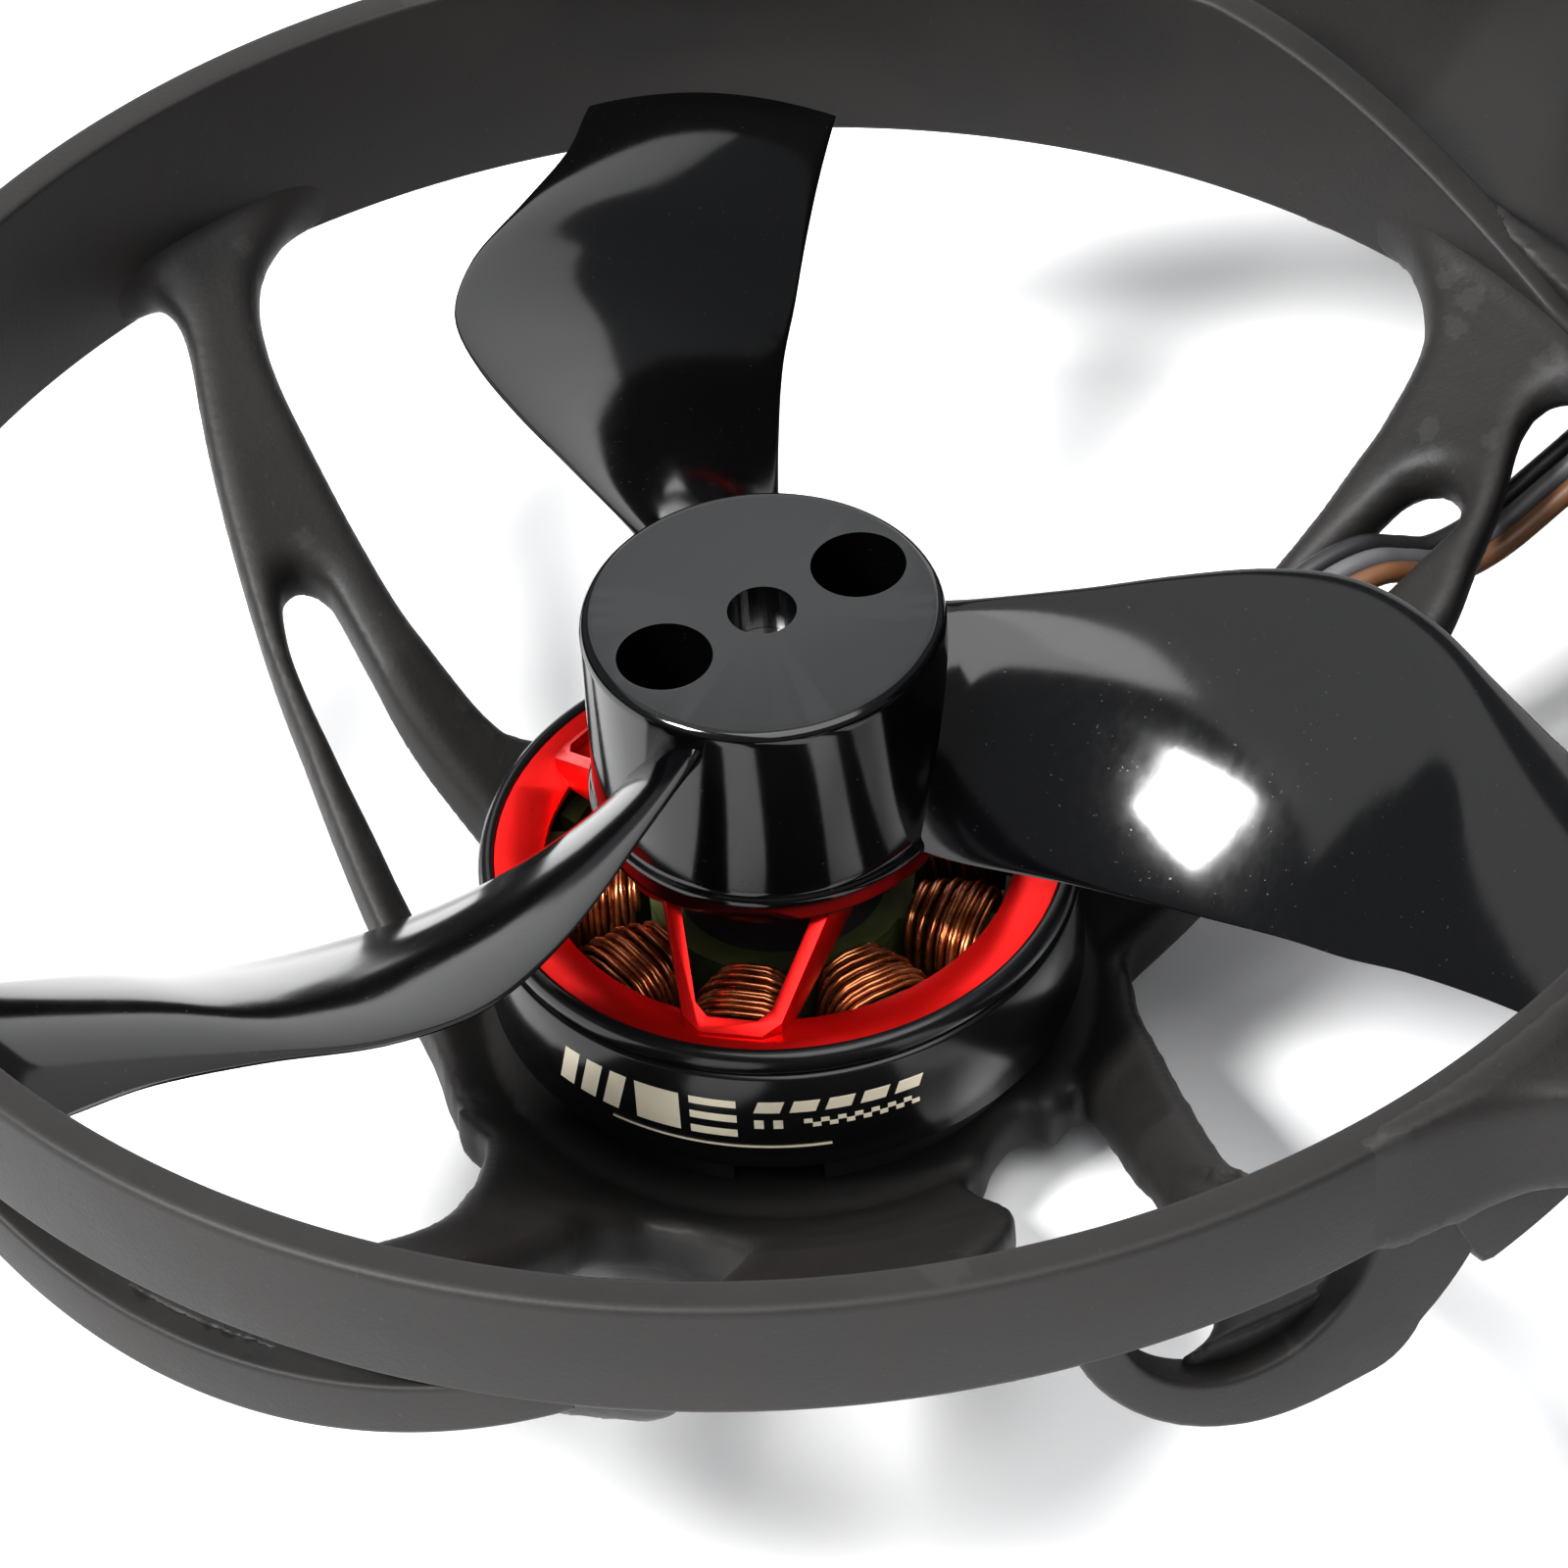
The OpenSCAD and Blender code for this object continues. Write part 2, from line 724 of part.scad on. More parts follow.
// Chips and parts on the board: centre X and Y, width, depth and height
CHIPS = [[0, 0, 7, 7, 0.9], [-6.4, -3, 3.6, 4, 0.8], [6.4, -3, 3.6, 4, 0.8], [-6, 2.6, 3.4, 3, 0.8],
    [6.4, 3.4, 3.6, 3, 0.8], [0, 8, 5, 3, 1], [0, -8.5, 3.2, 2.5, 1.1], [-4.6, -7.8, 1.6, 0.8, 0.6],
    [4.6, -7.8, 1.6, 0.8, 0.6], [-4.4, 7.8, 1.6, 0.8, 0.6], [5, 8, 1.6, 0.8, 0.6],
    [13.4, 3, 2.2, 1.6, 0.9], [-13.4, 3, 2.2, 1.6, 0.9], [3.6, 13.9, 2.6, 1.4, 0.5],
    [-4, -13.6, 2, 1.2, 0.5]];
button_at = [11, -6];
switch_h = 0.9;
button_r = 0.6;

module board_parts() {
    color([0.08, 0.08, 0.09]) {
        for (q = CHIPS)
            translate([q[0] - q[2] / 2, q[1] - q[3] / 2, board_top])
                cube([q[2], q[3], q[4]]);
        // housing of the boot button
        translate([button_at[0], button_at[1], board_top])
            difference() {
                translate([-1.3, -0.9, 0])
                    cube([2.6, 1.8, switch_h]);
                translate([0, 0, 0.1])
                    cylinder(h = 2, r = button_r + 0.04, $fn = 32);
            }
    }
}

usb_size = [4.7, 7.4, 2.6];

// Puts its children at the port's inner corner, looking out over the board's edge
module at_port() {
    rotate([0, 0, 135])
        translate([board_w / 2 + 0.6 - usb_size[0], -usb_size[1] / 2, board_top])
            children();
}

module usb_port() {
    wall = 0.3;
    color(steel)
        at_port()
            difference() {
                cube(usb_size);
                translate([0.8, wall, wall])
                    cube([usb_size[0], usb_size[1] - 2 * wall, usb_size[2] - 2 * wall]);
            }
}

module grommets() {
    color([0.1, 0.1, 0.1])
        each_side()
            translate([0, -board_hole, 0])
                rotate_extrude($fn = 48)
                    polygon([
                        [screw_r, deck_top], [2, deck_top], [2, board_z], [1.3, board_z],
                        [1.3, board_top], [2, board_top], [2, lug_z], [screw_r, lug_z]]);
}

module canopy_screws() {
    color(steel)
        each_side()
            translate([0, -board_hole, 0]) {
                translate([0, 0, wall_bottom + 0.2])
                    cylinder(h = lug_z + lug_t - wall_bottom - 0.2, r = screw_r, $fn = 32);
                translate([0, 0, lug_z + lug_t])
                    difference() {
                        cylinder(h = 0.8, r = 1.25, $fn = 48);
                        translate([0, 0, 0.3])
                            cylinder(h = 1, r = 0.45, $fn = 6);
                    }
            }
}

module motor_screws() {
    color(steel)
        for (c = CORNERS)
            at_corner(c)
                for (k = [0:2])
                    rotate([0, 0, corner_turn + 120 * k])
                        translate([screw_circle, 0, seat_z - arm_t]) {
                            cylinder(h = arm_t + 0.8, r = screw_r, $fn = 32);
                            translate([0, 0, -0.7])
                                difference() {
                                    cylinder(h = 0.7, r = 1.1, $fn = 48);
                                    translate([0, 0, -1])
                                        cylinder(h = 1.4, r = 0.45, $fn = 6);
                                }
                        }
}

// Side view of the canopy, pulled in by g: X is the aircraft's Y, Y is height
module canopy_side(g) {
    offset(delta = -g)
        polygon(concat(
            [[-19.5, lug_z - 2], [-19.5, 24]],
            arc([-15, canopy_top - 4.5], 4.5, 180, 92, 8),
            arc([-11, 16], canopy_top - 16, 90, 32, 10),
            [[8, 20.3], [14.3, 17.2], [15.2, lug_z - 2]]));
}

// Plan of the canopy, pulled in by g
module canopy_plan(g) {
    offset(delta = -g)
        polygon(concat(
            [[-canopy_w / 2, -19.8], [canopy_w / 2, -19.8], [canopy_w / 2, -4]],
            arc([0, 6], 9, 0, 180, 24),
            [[-canopy_w / 2, -4]]));
}

// Front view of the canopy, pulled in by g
module canopy_front(g) {
    r = 5;
    offset(delta = -g)
        polygon(concat(
            [[-canopy_w / 2, lug_z - 2], [canopy_w / 2, lug_z - 2]],
            arc([canopy_w / 2 - r, canopy_top - r], r, 0, 90, 12),
            arc([r - canopy_w / 2, canopy_top - r], r, 90, 180, 12)));
}

module canopy_solid(g) {
    intersection() {
        rotate([90, 0, 90])
            translate([0, 0, -15])
                linear_extrude(30)
                    canopy_side(g);
        linear_extrude(50)
            canopy_plan(g);
        rotate([90, 0, 0])
            translate([0, 0, -30])
                linear_extrude(60)
                    canopy_front(g);
    }
}

module canopy() {
    color([0.12, 0.12, 0.13])
        difference() {
            union() {
                difference() {
                    canopy_solid(0);
                    canopy_solid(canopy_wall);
                    // open underside
                    translate([-15, -30, 0])
                        cube([30, 60, lug_z]);
                    translate([canopy_wall - canopy_w / 2, canopy_wall - 19.5, lug_z - 1])
                        cube([canopy_w - 2 * canopy_wall, 27, 4]);
                }
                // lugs over the board's corners
                each_side()
                    translate([0, 0, lug_z])
                        linear_extrude(lug_t)
                            translate([0, -board_hole])
                                circle(2.2, $fn = 48);
                for (s = [-1, 1])
                    translate([s > 0 ? canopy_w / 2 - canopy_wall : -board_hole, -1.6, lug_z])
                        cube([board_hole - canopy_w / 2 + canopy_wall, 3.2, lug_t]);
                translate([-1.6, 14, lug_z])
                    cube([3.2, board_hole - 14, lug_t]);
                // bosses for the camera's pivot pins
                for (s = [-1, 1])
                    translate([s * (cheek_x + 0.6), cam_y, cam_z])
                        rotate([0, 90, 0])
                            cylinder(h = canopy_w - 2 * cheek_x - 1.2, r = 2, center = true, $fn = 48);
            }
            // camera window in the nose
            translate([-cheek_x, -30, lug_z + 3])
                cube([2 * cheek_x, 19, canopy_top]);
            // pivot holes
            translate([0, cam_y, cam_z])
                rotate([0, 90, 0])
                    cylinder(h = 40, r = cam_pin_r + running_gap, center = true, $fn = 48);
            each_side()
                translate([0, -board_hole, lug_z - 1])
                    cylinder(h = 4, r = screw_r, $fn = 32);
            // window round the USB port
            at_port()
                translate([-0.4, -0.4, -1])
                    cube([usb_size[0] + 6, usb_size[1] + 0.8, usb_size[2] + 1.4]);
            // air vents in each side
            for (k = [0:2])
                translate([-20, -5 + 4 * k, 21.5 - 1.2 * k])
                    rotate([0, 90, 0])
                        linear_extrude(40)
                            rotate(-20)
                                offset(r = 0.6, $fn = 24)
                                    square([3.4, 0.6], center = true);
        }
}

module camera_tilt() {
    translate([0, cam_y, cam_z])
        rotate([-cam_tilt, 0, 0])
            children();
}

module camera_body() {
    color([0.1, 0.1, 0.11])
        camera_tilt() {
            difference() {
                translate([-cam_w / 2, -3.2, -5])
                    cube([cam_w, 6, 10]);
                translate([-4.6, 1.6, -3.8])
                    cube([9.2, 3, 7.6]);
            }
            translate([0, -3.2, 0])
                rotate([90, 0, 0])
                    difference() {
                        cylinder(h = 1.8, r = lens_r + 0.9);
                        translate([0, 0, -eps])
                            cylinder(h = 3, r = lens_r - 0.4);
                    }
            for (s = [-1, 1])
                translate([s * (cam_w / 2 + 1.2), 0, 0])
                    rotate([0, 90, 0])
                        cylinder(h = 2.4 + 2 * eps, r = cam_pin_r, center = true, $fn = 48);
        }
}

module camera_lens() {
    color([0.05, 0.05, 0.07])
        camera_tilt()
            translate([0, -3.2, 0])
                rotate([90, 0, 0])
                    rotate_extrude()
                        polygon(concat(
                            [[0, 0], [lens_r - 0.4, 0], [lens_r - 0.4, 1.8], [lens_r, 1.8], [lens_r, 4.6],
                                [lens_r - 0.5, 4.9], [lens_r - 1, 4.4]],
                            arc([0, 1.4], 4.2, 45, 90, 8)));
}

module antenna() {
    lean = 24;
    color([0.09, 0.09, 0.1])
        translate([-4.5, 14.8, board_top]) {
            cylinder(h = 2, r = 0.65, $fn = 32);
            translate([0, 0, 1.6])
                rotate([-lean, 0, 0]) {
                    cylinder(h = 22, r = 0.45, $fn = 32);
                    translate([0, 0, 19])
                        cylinder(h = 4.5, r = 0.7, $fn = 32);
                }
        }
}

module boot_button() {
    color([0.85, 0.85, 0.82])
        translate([button_at[0], button_at[1], board_top + 0.35])
            cylinder(h = switch_h + 0.05, r = button_r, $fn = 32);
}

centre_deck();
battery_tray();
battery();
flight_controller();
board_parts();
usb_port();
grommets();
canopy();
canopy_screws();
camera_body();
camera_lens();
antenna();
boot_button();
motor_screws();
for (c = CORNERS) {
    duct(c);
    motor_base(c);
    bearings(c);
    stator_core(c);
    windings(c);
    motor_leads(c);
    bell_ring(c);
    bell_cap(c);
    magnets(c);
    shaft(c);
    propeller(c);
}
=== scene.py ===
import math

import bmesh
import bpy
import numpy as np
from mathutils import Matrix, Vector


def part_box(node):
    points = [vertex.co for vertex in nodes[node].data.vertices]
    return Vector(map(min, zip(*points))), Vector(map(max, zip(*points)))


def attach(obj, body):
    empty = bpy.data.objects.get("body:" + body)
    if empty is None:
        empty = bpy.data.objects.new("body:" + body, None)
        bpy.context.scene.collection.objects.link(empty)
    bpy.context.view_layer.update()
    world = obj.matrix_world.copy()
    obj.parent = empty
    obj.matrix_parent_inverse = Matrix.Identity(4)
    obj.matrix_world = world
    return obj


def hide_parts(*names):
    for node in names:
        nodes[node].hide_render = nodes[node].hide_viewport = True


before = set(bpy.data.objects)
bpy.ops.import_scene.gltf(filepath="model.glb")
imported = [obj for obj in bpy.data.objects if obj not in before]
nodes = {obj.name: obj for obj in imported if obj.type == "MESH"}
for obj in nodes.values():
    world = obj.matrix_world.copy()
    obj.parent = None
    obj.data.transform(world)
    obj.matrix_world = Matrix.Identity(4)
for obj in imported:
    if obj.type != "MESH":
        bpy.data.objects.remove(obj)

MM = 0.001
CORNERS = ["front_right", "front_left", "rear_right", "rear_left"]
TURN = math.radians(32)  # turn of the arms, motor and blades about a motor axis
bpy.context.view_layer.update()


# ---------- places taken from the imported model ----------

def box_mm(node):
    lo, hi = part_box(node)
    return np.array(lo) / MM, np.array(hi) / MM


def axis_mm(corner):
    lo, hi = box_mm("shaft_" + corner)
    return (lo[:2] + hi[:2]) / 2


RIM = box_mm("duct_front_right")[1][2]
HUB_TOP = box_mm("propeller_front_right")[1][2]
BELL_LOW, BELL_HIGH = box_mm("bell_ring_front_right")[0][2], box_mm("bell_ring_front_right")[1][2]
STACK_LOW, STACK_HIGH = box_mm("stator_core_front_right")[0][2], box_mm("stator_core_front_right")[1][2]
DUCT_IN, DUCT_OUT = 21.1, 22.0  # radii of the duct wall
DUCT_MID = (DUCT_IN + DUCT_OUT) / 2
BAND = RIM - 3.0  # lower edge of the narrow stretch of wall
DEEP = RIM - 5.5  # lower edge of the deep stretch of wall
DECK_TOP = box_mm("flight_controller")[0][2] - 0.8


def at_corner(corner, verts):
    """World metres for points in mm about the front right motor axis, and whether faces turn over."""
    v = np.array(verts, float)
    x, y = axis_mm(corner)
    sx = -1 if x > 0 else 1
    sy = -1 if y > 0 else 1
    out = np.stack([x + sx * v[:, 0], y + sy * v[:, 1], v[:, 2]], 1) * MM
    return out, sx * sy < 0


def turned(verts, angle=TURN):
    v = np.array(verts, float)
    c, s = math.cos(angle), math.sin(angle)
    return np.stack([c * v[:, 0] - s * v[:, 1], s * v[:, 0] + c * v[:, 1], v[:, 2]], 1)


# ---------- mesh helpers ----------

def new_object(name, verts, faces, mats, index=None, sharp=35):
    mesh = bpy.data.meshes.new(name)
    mesh.from_pydata([tuple(v) for v in np.asarray(verts, float)], [], [tuple(f) for f in faces])
    for m in mats:
        mesh.materials.append(m)
    if index is not None:
        mesh.polygons.foreach_set("material_index", np.asarray(index, np.int32))
    mesh.polygons.foreach_set("use_smooth", np.ones(len(mesh.polygons), bool))
    mesh.validate()
    mesh.update()
    if sharp is not None:
        mesh.set_sharp_from_angle(angle=math.radians(sharp))
    obj = bpy.data.objects.new(name, mesh)
    bpy.context.scene.collection.objects.link(obj)
    return obj


def settle(obj, body, slot, *stands_for):
    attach(obj, body)
    if stands_for:
        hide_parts(*stands_for)
    return obj


def corner_pieces(name, verts, faces, mats, body, slot, part=None, index=None, sharp=35):
    """One piece at each corner from a mesh drawn about the front right motor axis."""
    for c in CORNERS:
        placed, over = at_corner(c, verts)
        corner_faces = [tuple(reversed(f)) for f in faces] if over else faces
        obj = new_object(f"{name}_{c}", placed, corner_faces, mats, index, sharp)
        rides_on = f"rotor_{c}" if body == "rotor" else body
        stands_for = [f"{part}_{c}"] if part else []
        settle(obj, rides_on, slot, *stands_for)


def joined(*parts):
    """One vertex and face list, and the part number of each face, from several."""
    verts, faces, index = [], [], []
    for k, (v, f) in enumerate(parts):
        base = len(verts)
        verts.extend([tuple(p) for p in v])
        faces.extend([tuple(i + base for i in q) for q in f])
        index.extend([k] * len(f))
    return verts, faces, index


def loft(loops, closed=False):
    """Quads between closed loops of points, with flat ends unless the loops go all the way round."""
    loops = np.array(loops, float)
    n, m = loops.shape[:2]
    verts = loops.reshape(-1, 3)
    faces = []
    for i in range(n if closed else n - 1):
        j = (i + 1) % n
        for k in range(m):
            l = (k + 1) % m
            faces.append((i * m + k, i * m + l, j * m + l, j * m + k))
    if not closed:
        faces.append(tuple(range(m - 1, -1, -1)))
        faces.append(tuple((n - 1) * m + k for k in range(m)))
    return verts, faces


def lathe(profile, n):
    """Turned solid from a closed profile of (radius, height), counter-clockwise in that plane."""
    angles = np.radians(np.linspace(0, 360, n, endpoint=False))
    p = np.array(profile, float)
    loops = [np.stack([p[:, 0] * math.cos(a), p[:, 0] * math.sin(a), p[:, 1]], 1) for a in angles]
    verts, faces = loft(loops, True)
    return verts, [tuple(reversed(f)) for f in faces]


def rounded(points, radius, steps=4):
    """A closed outline with each corner rounded; radius is one number or one for each corner."""
    p = np.array(points, float)
    n = len(p)
    radii = [radius] * n if np.isscalar(radius) else radius
    out = []
    for i in range(n):
        a, b, c = p[i - 1], p[i], p[(i + 1) % n]
        u, v = a - b, c - b
        lu, lv = np.linalg.norm(u), np.linalg.norm(v)
        u, v = u / lu, v / lv
        r = min(radii[i], 0.45 * lu, 0.45 * lv)
        if r < 1e-4:
            out.append(b)
            continue
        for t in np.linspace(0, 1, steps + 1):
            out.append((1 - t) ** 2 * (b + u * r) + 2 * t * (1 - t) * b + t ** 2 * (b + v * r))
    return np.array(out)


def tube(path, radius, sides=12):
    """Round tube along points, with flat ends."""
    p = np.array(path, float)
    t = np.gradient(p, axis=0)
    t /= np.linalg.norm(t, axis=1)[:, None]
    aside = np.array([0.31, 0.17, 0.94])  # any direction that no path starts along
    u = np.cross(t[0], aside)
    u /= np.linalg.norm(u)
    loops = []
    r = np.broadcast_to(np.asarray(radius, float), (len(p),))
    for i in range(len(p)):
        u = u - t[i] * np.dot(u, t[i])
        u /= np.linalg.norm(u)
        v = np.cross(t[i], u)
        a = np.linspace(0, 2 * math.pi, sides, endpoint=False)
        loops.append(p[i] + r[i] * (np.cos(a)[:, None] * u + np.sin(a)[:, None] * v))
    return loft(loops)


def spline(points, count):
    """Smooth curve through the points, evenly spread by number."""
    p = np.array(points, float)
    q = np.concatenate([[2 * p[0] - p[1]], p, [2 * p[-1] - p[-2]]])
    out = []
    for s in np.linspace(0, len(p) - 1, count):
        i = min(int(s), len(p) - 2)
        t = s - i
        a, b, c, d = q[i], q[i + 1], q[i + 2], q[i + 3]
        out.append(0.5 * (2 * b + (c - a) * t + (2 * a - 5 * b + 4 * c - d) * t ** 2
                          + (3 * b - a - 3 * c + d) * t ** 3))
    return np.array(out)


def surface_nets(field, origin, step):
    """Closed quad mesh of the surface where the sampled field is zero."""
    inside = field < 0
    nx, ny, nz = (s - 1 for s in field.shape)
    corners = [(i, j, k) for i in (0, 1) for j in (0, 1) for k in (0, 1)]
    count = sum(inside[i:i + nx, j:j + ny, k:k + nz].astype(np.int8) for i, j, k in corners)
    active = (count > 0) & (count < 8)
    cells = np.argwhere(active)
    vals = [field[cells[:, 0] + i, cells[:, 1] + j, cells[:, 2] + k] for i, j, k in corners]
    total = np.zeros((len(cells), 3))
    hits = np.zeros(len(cells))
    for a in range(8):
        for b in range(a + 1, 8):
            ca, cb = np.array(corners[a]), np.array(corners[b])
            if abs(ca - cb).sum() != 1:
                continue
            cross = (vals[a] < 0) != (vals[b] < 0)
            t = np.where(cross, vals[a] / np.where(cross, vals[a] - vals[b], 1), 0)
            total += np.where(cross[:, None], ca + t[:, None] * (cb - ca), 0)
            hits += cross
    verts = (cells + total / hits[:, None]) * step + origin
    number = np.full(active.shape, -1, np.int64)
    number[active] = np.arange(len(cells))
    quads = []
    for axis in range(3):
        lo = [slice(None)] * 3
        hi = [slice(None)] * 3
        lo[axis], hi[axis] = slice(0, -1), slice(1, None)
        first = inside[tuple(lo)]
        change = first != inside[tuple(hi)]
        u, v = (axis + 1) % 3, (axis + 2) % 3
        at = np.argwhere(change)
        at = at[(at[:, u] > 0) & (at[:, v] > 0) & (at[:, u] < active.shape[u]) & (at[:, v] < active.shape[v])]
        eu, ev = np.eye(3, dtype=int)[[u, v]]
        around = (np.zeros(3, int), eu, eu + ev, ev)
        q = np.stack([number[tuple((at - d).T)] for d in around], 1)
        flip = ~first[tuple(at.T)]
        q[flip] = q[flip][:, ::-1]
        quads.append(q)
    return verts, np.concatenate(quads)


def cleaned(verts, faces, weld=0.0):
    """The mesh with points closer than the weld distance joined, and its faces turned outward."""
    mesh = bpy.data.meshes.new("tmp")
    mesh.from_pydata([tuple(v) for v in verts], [], faces)
    bm = bmesh.new()
    bm.from_mesh(mesh)
    if weld:
        bmesh.ops.remove_doubles(bm, verts=bm.verts, dist=weld)
    bmesh.ops.recalc_face_normals(bm, faces=bm.faces)
    bm.to_mesh(mesh)
    bm.free()
    out = [tuple(v.co) for v in mesh.vertices], [tuple(p.vertices) for p in mesh.polygons]
    bpy.data.meshes.remove(mesh)
    return out


def smooth_min(a, b, k):
    """The smaller of two distances, blended where they are within k of each other."""
    h = np.maximum(k - np.abs(a - b), 0) / k
    return np.minimum(a, b) - h * h * k * 0.25


def smooth_max(a, b, k):
    return -smooth_min(-a, -b, k)


def bevelled_copy(node, name, mats, body, slot, width=0.15, segments=2, angle=28):
    """A copy of a CAD node's mesh with its edges rounded, standing for that node."""
    mesh = nodes[node].data.copy()
    mesh.materials.clear()
    for m in mats:
        mesh.materials.append(m)
    bm = bmesh.new()
    bm.from_mesh(mesh)
    bmesh.ops.remove_doubles(bm, verts=bm.verts, dist=2e-6)
    bmesh.ops.dissolve_limit(bm, angle_limit=math.radians(2), verts=bm.verts, edges=bm.edges)
    bm.to_mesh(mesh)
    bm.free()
    obj = bpy.data.objects.new(name, mesh)
    bpy.context.scene.collection.objects.link(obj)
    mod = obj.modifiers.new("round", "BEVEL")
    mod.width = width * MM
    mod.segments = segments
    mod.limit_method = "ANGLE"
    mod.angle_limit = math.radians(angle)
    mod.use_clamp_overlap = True
    bake_modifiers(obj)
    obj.data.polygons.foreach_set("use_smooth", np.ones(len(obj.data.polygons), bool))
    obj.data.set_sharp_from_angle(angle=math.radians(32))
    return settle(obj, body, slot, node)


def painted(node, mat):
    """Give a CAD node that is kept a better material."""
    for slot in nodes[node].material_slots:
        slot.material = mat


def bake_modifiers(obj):
    graph = bpy.context.evaluated_depsgraph_get()
    mesh = bpy.data.meshes.new_from_object(obj.evaluated_get(graph))
    obj.modifiers.clear()
    obj.data = mesh


# ---------- camera ----------

ax, ay = axis_mm("front_right")
cam_data = bpy.data.cameras.new("camera")
cam = bpy.data.objects.new("camera", cam_data)
bpy.context.scene.collection.objects.link(cam)
bpy.context.scene.camera = cam
cam_data.sensor_width = 36
cam_data.lens = 167.72
elev, roll, reach = math.radians(43.82), math.radians(4.1), 151.62
right = Vector((math.cos(TURN), math.sin(TURN), 0))
back = Vector((math.sin(TURN) * math.cos(elev), -math.cos(TURN) * math.cos(elev), math.sin(elev)))
up = back.cross(right)
target = Vector((ax + 4.07, ay - 6.12, RIM))
cam.location = (target + back * reach) * MM
tilted_right = right * math.cos(roll) - up * math.sin(roll)
tilted_up = right * math.sin(roll) + up * math.cos(roll)
cam.rotation_mode = "QUATERNION"
cam.rotation_quaternion = Matrix((tilted_right, tilted_up, back)).transposed().to_quaternion()
cam_data.clip_start, cam_data.clip_end = 0.005, 5


# ---------- materials ----------

class Nodes:
    """Small helper that builds one node material on a Principled shader."""

    def __init__(self, name, colour, rough, metallic=0.0, **sockets):
        self.mat = bpy.data.materials.new(name)
        self.mat.use_nodes = True
        self.tree = self.mat.node_tree
        self.shader = self.tree.nodes["Principled BSDF"]
        self.set("Base Color", (*colour, 1))
        self.set("Roughness", rough)
        self.set("Metallic", metallic)
        for key, value in sockets.items():
            self.set(key.replace("_", " "), value)
        self.coord = self.tree.nodes.new("ShaderNodeTexCoord").outputs["Object"]
        self.height = None

    def set(self, socket, value):
        target = self.shader.inputs[socket]
        if isinstance(value, bpy.types.NodeSocket):
            self.tree.links.new(value, target)
        else:
            target.default_value = value

    def node(self, kind, outs=0, props=None, **inputs):
        n = self.tree.nodes.new(kind)
        for key, value in (props or {}).items():
            setattr(n, key, value)
        for key, value in inputs.items():
            at = int(key[1:]) if key[0] == "i" and key[1:].isdigit() else key.replace("_", " ")
            if isinstance(value, bpy.types.NodeSocket):
                self.tree.links.new(value, n.inputs[at])
            else:
                n.inputs[at].default_value = value
        return n.outputs[outs]

    def stretched(self, scale):
        return self.node("ShaderNodeMapping", Vector=self.coord, Scale=scale)

    def noise(self, size_mm, detail=3.0, rough=0.5, vector=None, distortion=0.0):
        return self.node("ShaderNodeTexNoise", Vector=vector or self.coord, Scale=1 / (size_mm * MM),
                         Detail=detail, Roughness=rough, Distortion=distortion)

    def cells(self, size_mm, vector):
        return self.node("ShaderNodeTexVoronoi", Vector=vector, Scale=1 / (size_mm * MM))

    def ramp(self, value, *stops):
        n = self.tree.nodes.new("ShaderNodeValToRGB")
        self.tree.links.new(value, n.inputs[0])
        while len(n.color_ramp.elements) < len(stops):
            n.color_ramp.elements.new(0.5)
        for e, (at, colour) in zip(n.color_ramp.elements, stops):
            e.position = at
            e.color = (*colour, 1) if isinstance(colour, tuple) else (colour, colour, colour, 1)
        return n.outputs[0]

    def mix(self, amount, a, b):
        n = self.tree.nodes.new("ShaderNodeMix")
        n.data_type = "RGBA"
        for at, value in ((0, amount), (6, a), (7, b)):
            if isinstance(value, bpy.types.NodeSocket):
                self.tree.links.new(value, n.inputs[at])
            elif at == 0:
                n.inputs[0].default_value = value
            else:
                n.inputs[at].default_value = (*value, 1)
        return n.outputs[2]

    def maths(self, kind, a, b=0.0, c=0.0):
        return self.node("ShaderNodeMath", props={"operation": kind}, i0=a, i1=b, i2=c)

    def span(self, value, low, high, lo=0.0, hi=1.0):
        return self.node("ShaderNodeMapRange", Value=value, From_Min=lo, From_Max=hi, To_Min=low, To_Max=high)

    def bump(self, height, depth_mm, strength=1.0):
        n = self.tree.nodes.new("ShaderNodeBump")
        n.inputs["Strength"].default_value = strength
        n.inputs["Distance"].default_value = depth_mm * MM
        self.tree.links.new(height, n.inputs["Height"])
        if self.height is not None:
            self.tree.links.new(self.height, n.inputs["Normal"])
        self.height = n.outputs[0]
        self.set("Normal", self.height)
        return self

    def edges(self):
        """1 on worn convex edges, 0 elsewhere."""
        point = self.node("ShaderNodeNewGeometry", outs="Pointiness")
        return self.ramp(point, (0.5, 0.0), (0.56, 1.0))


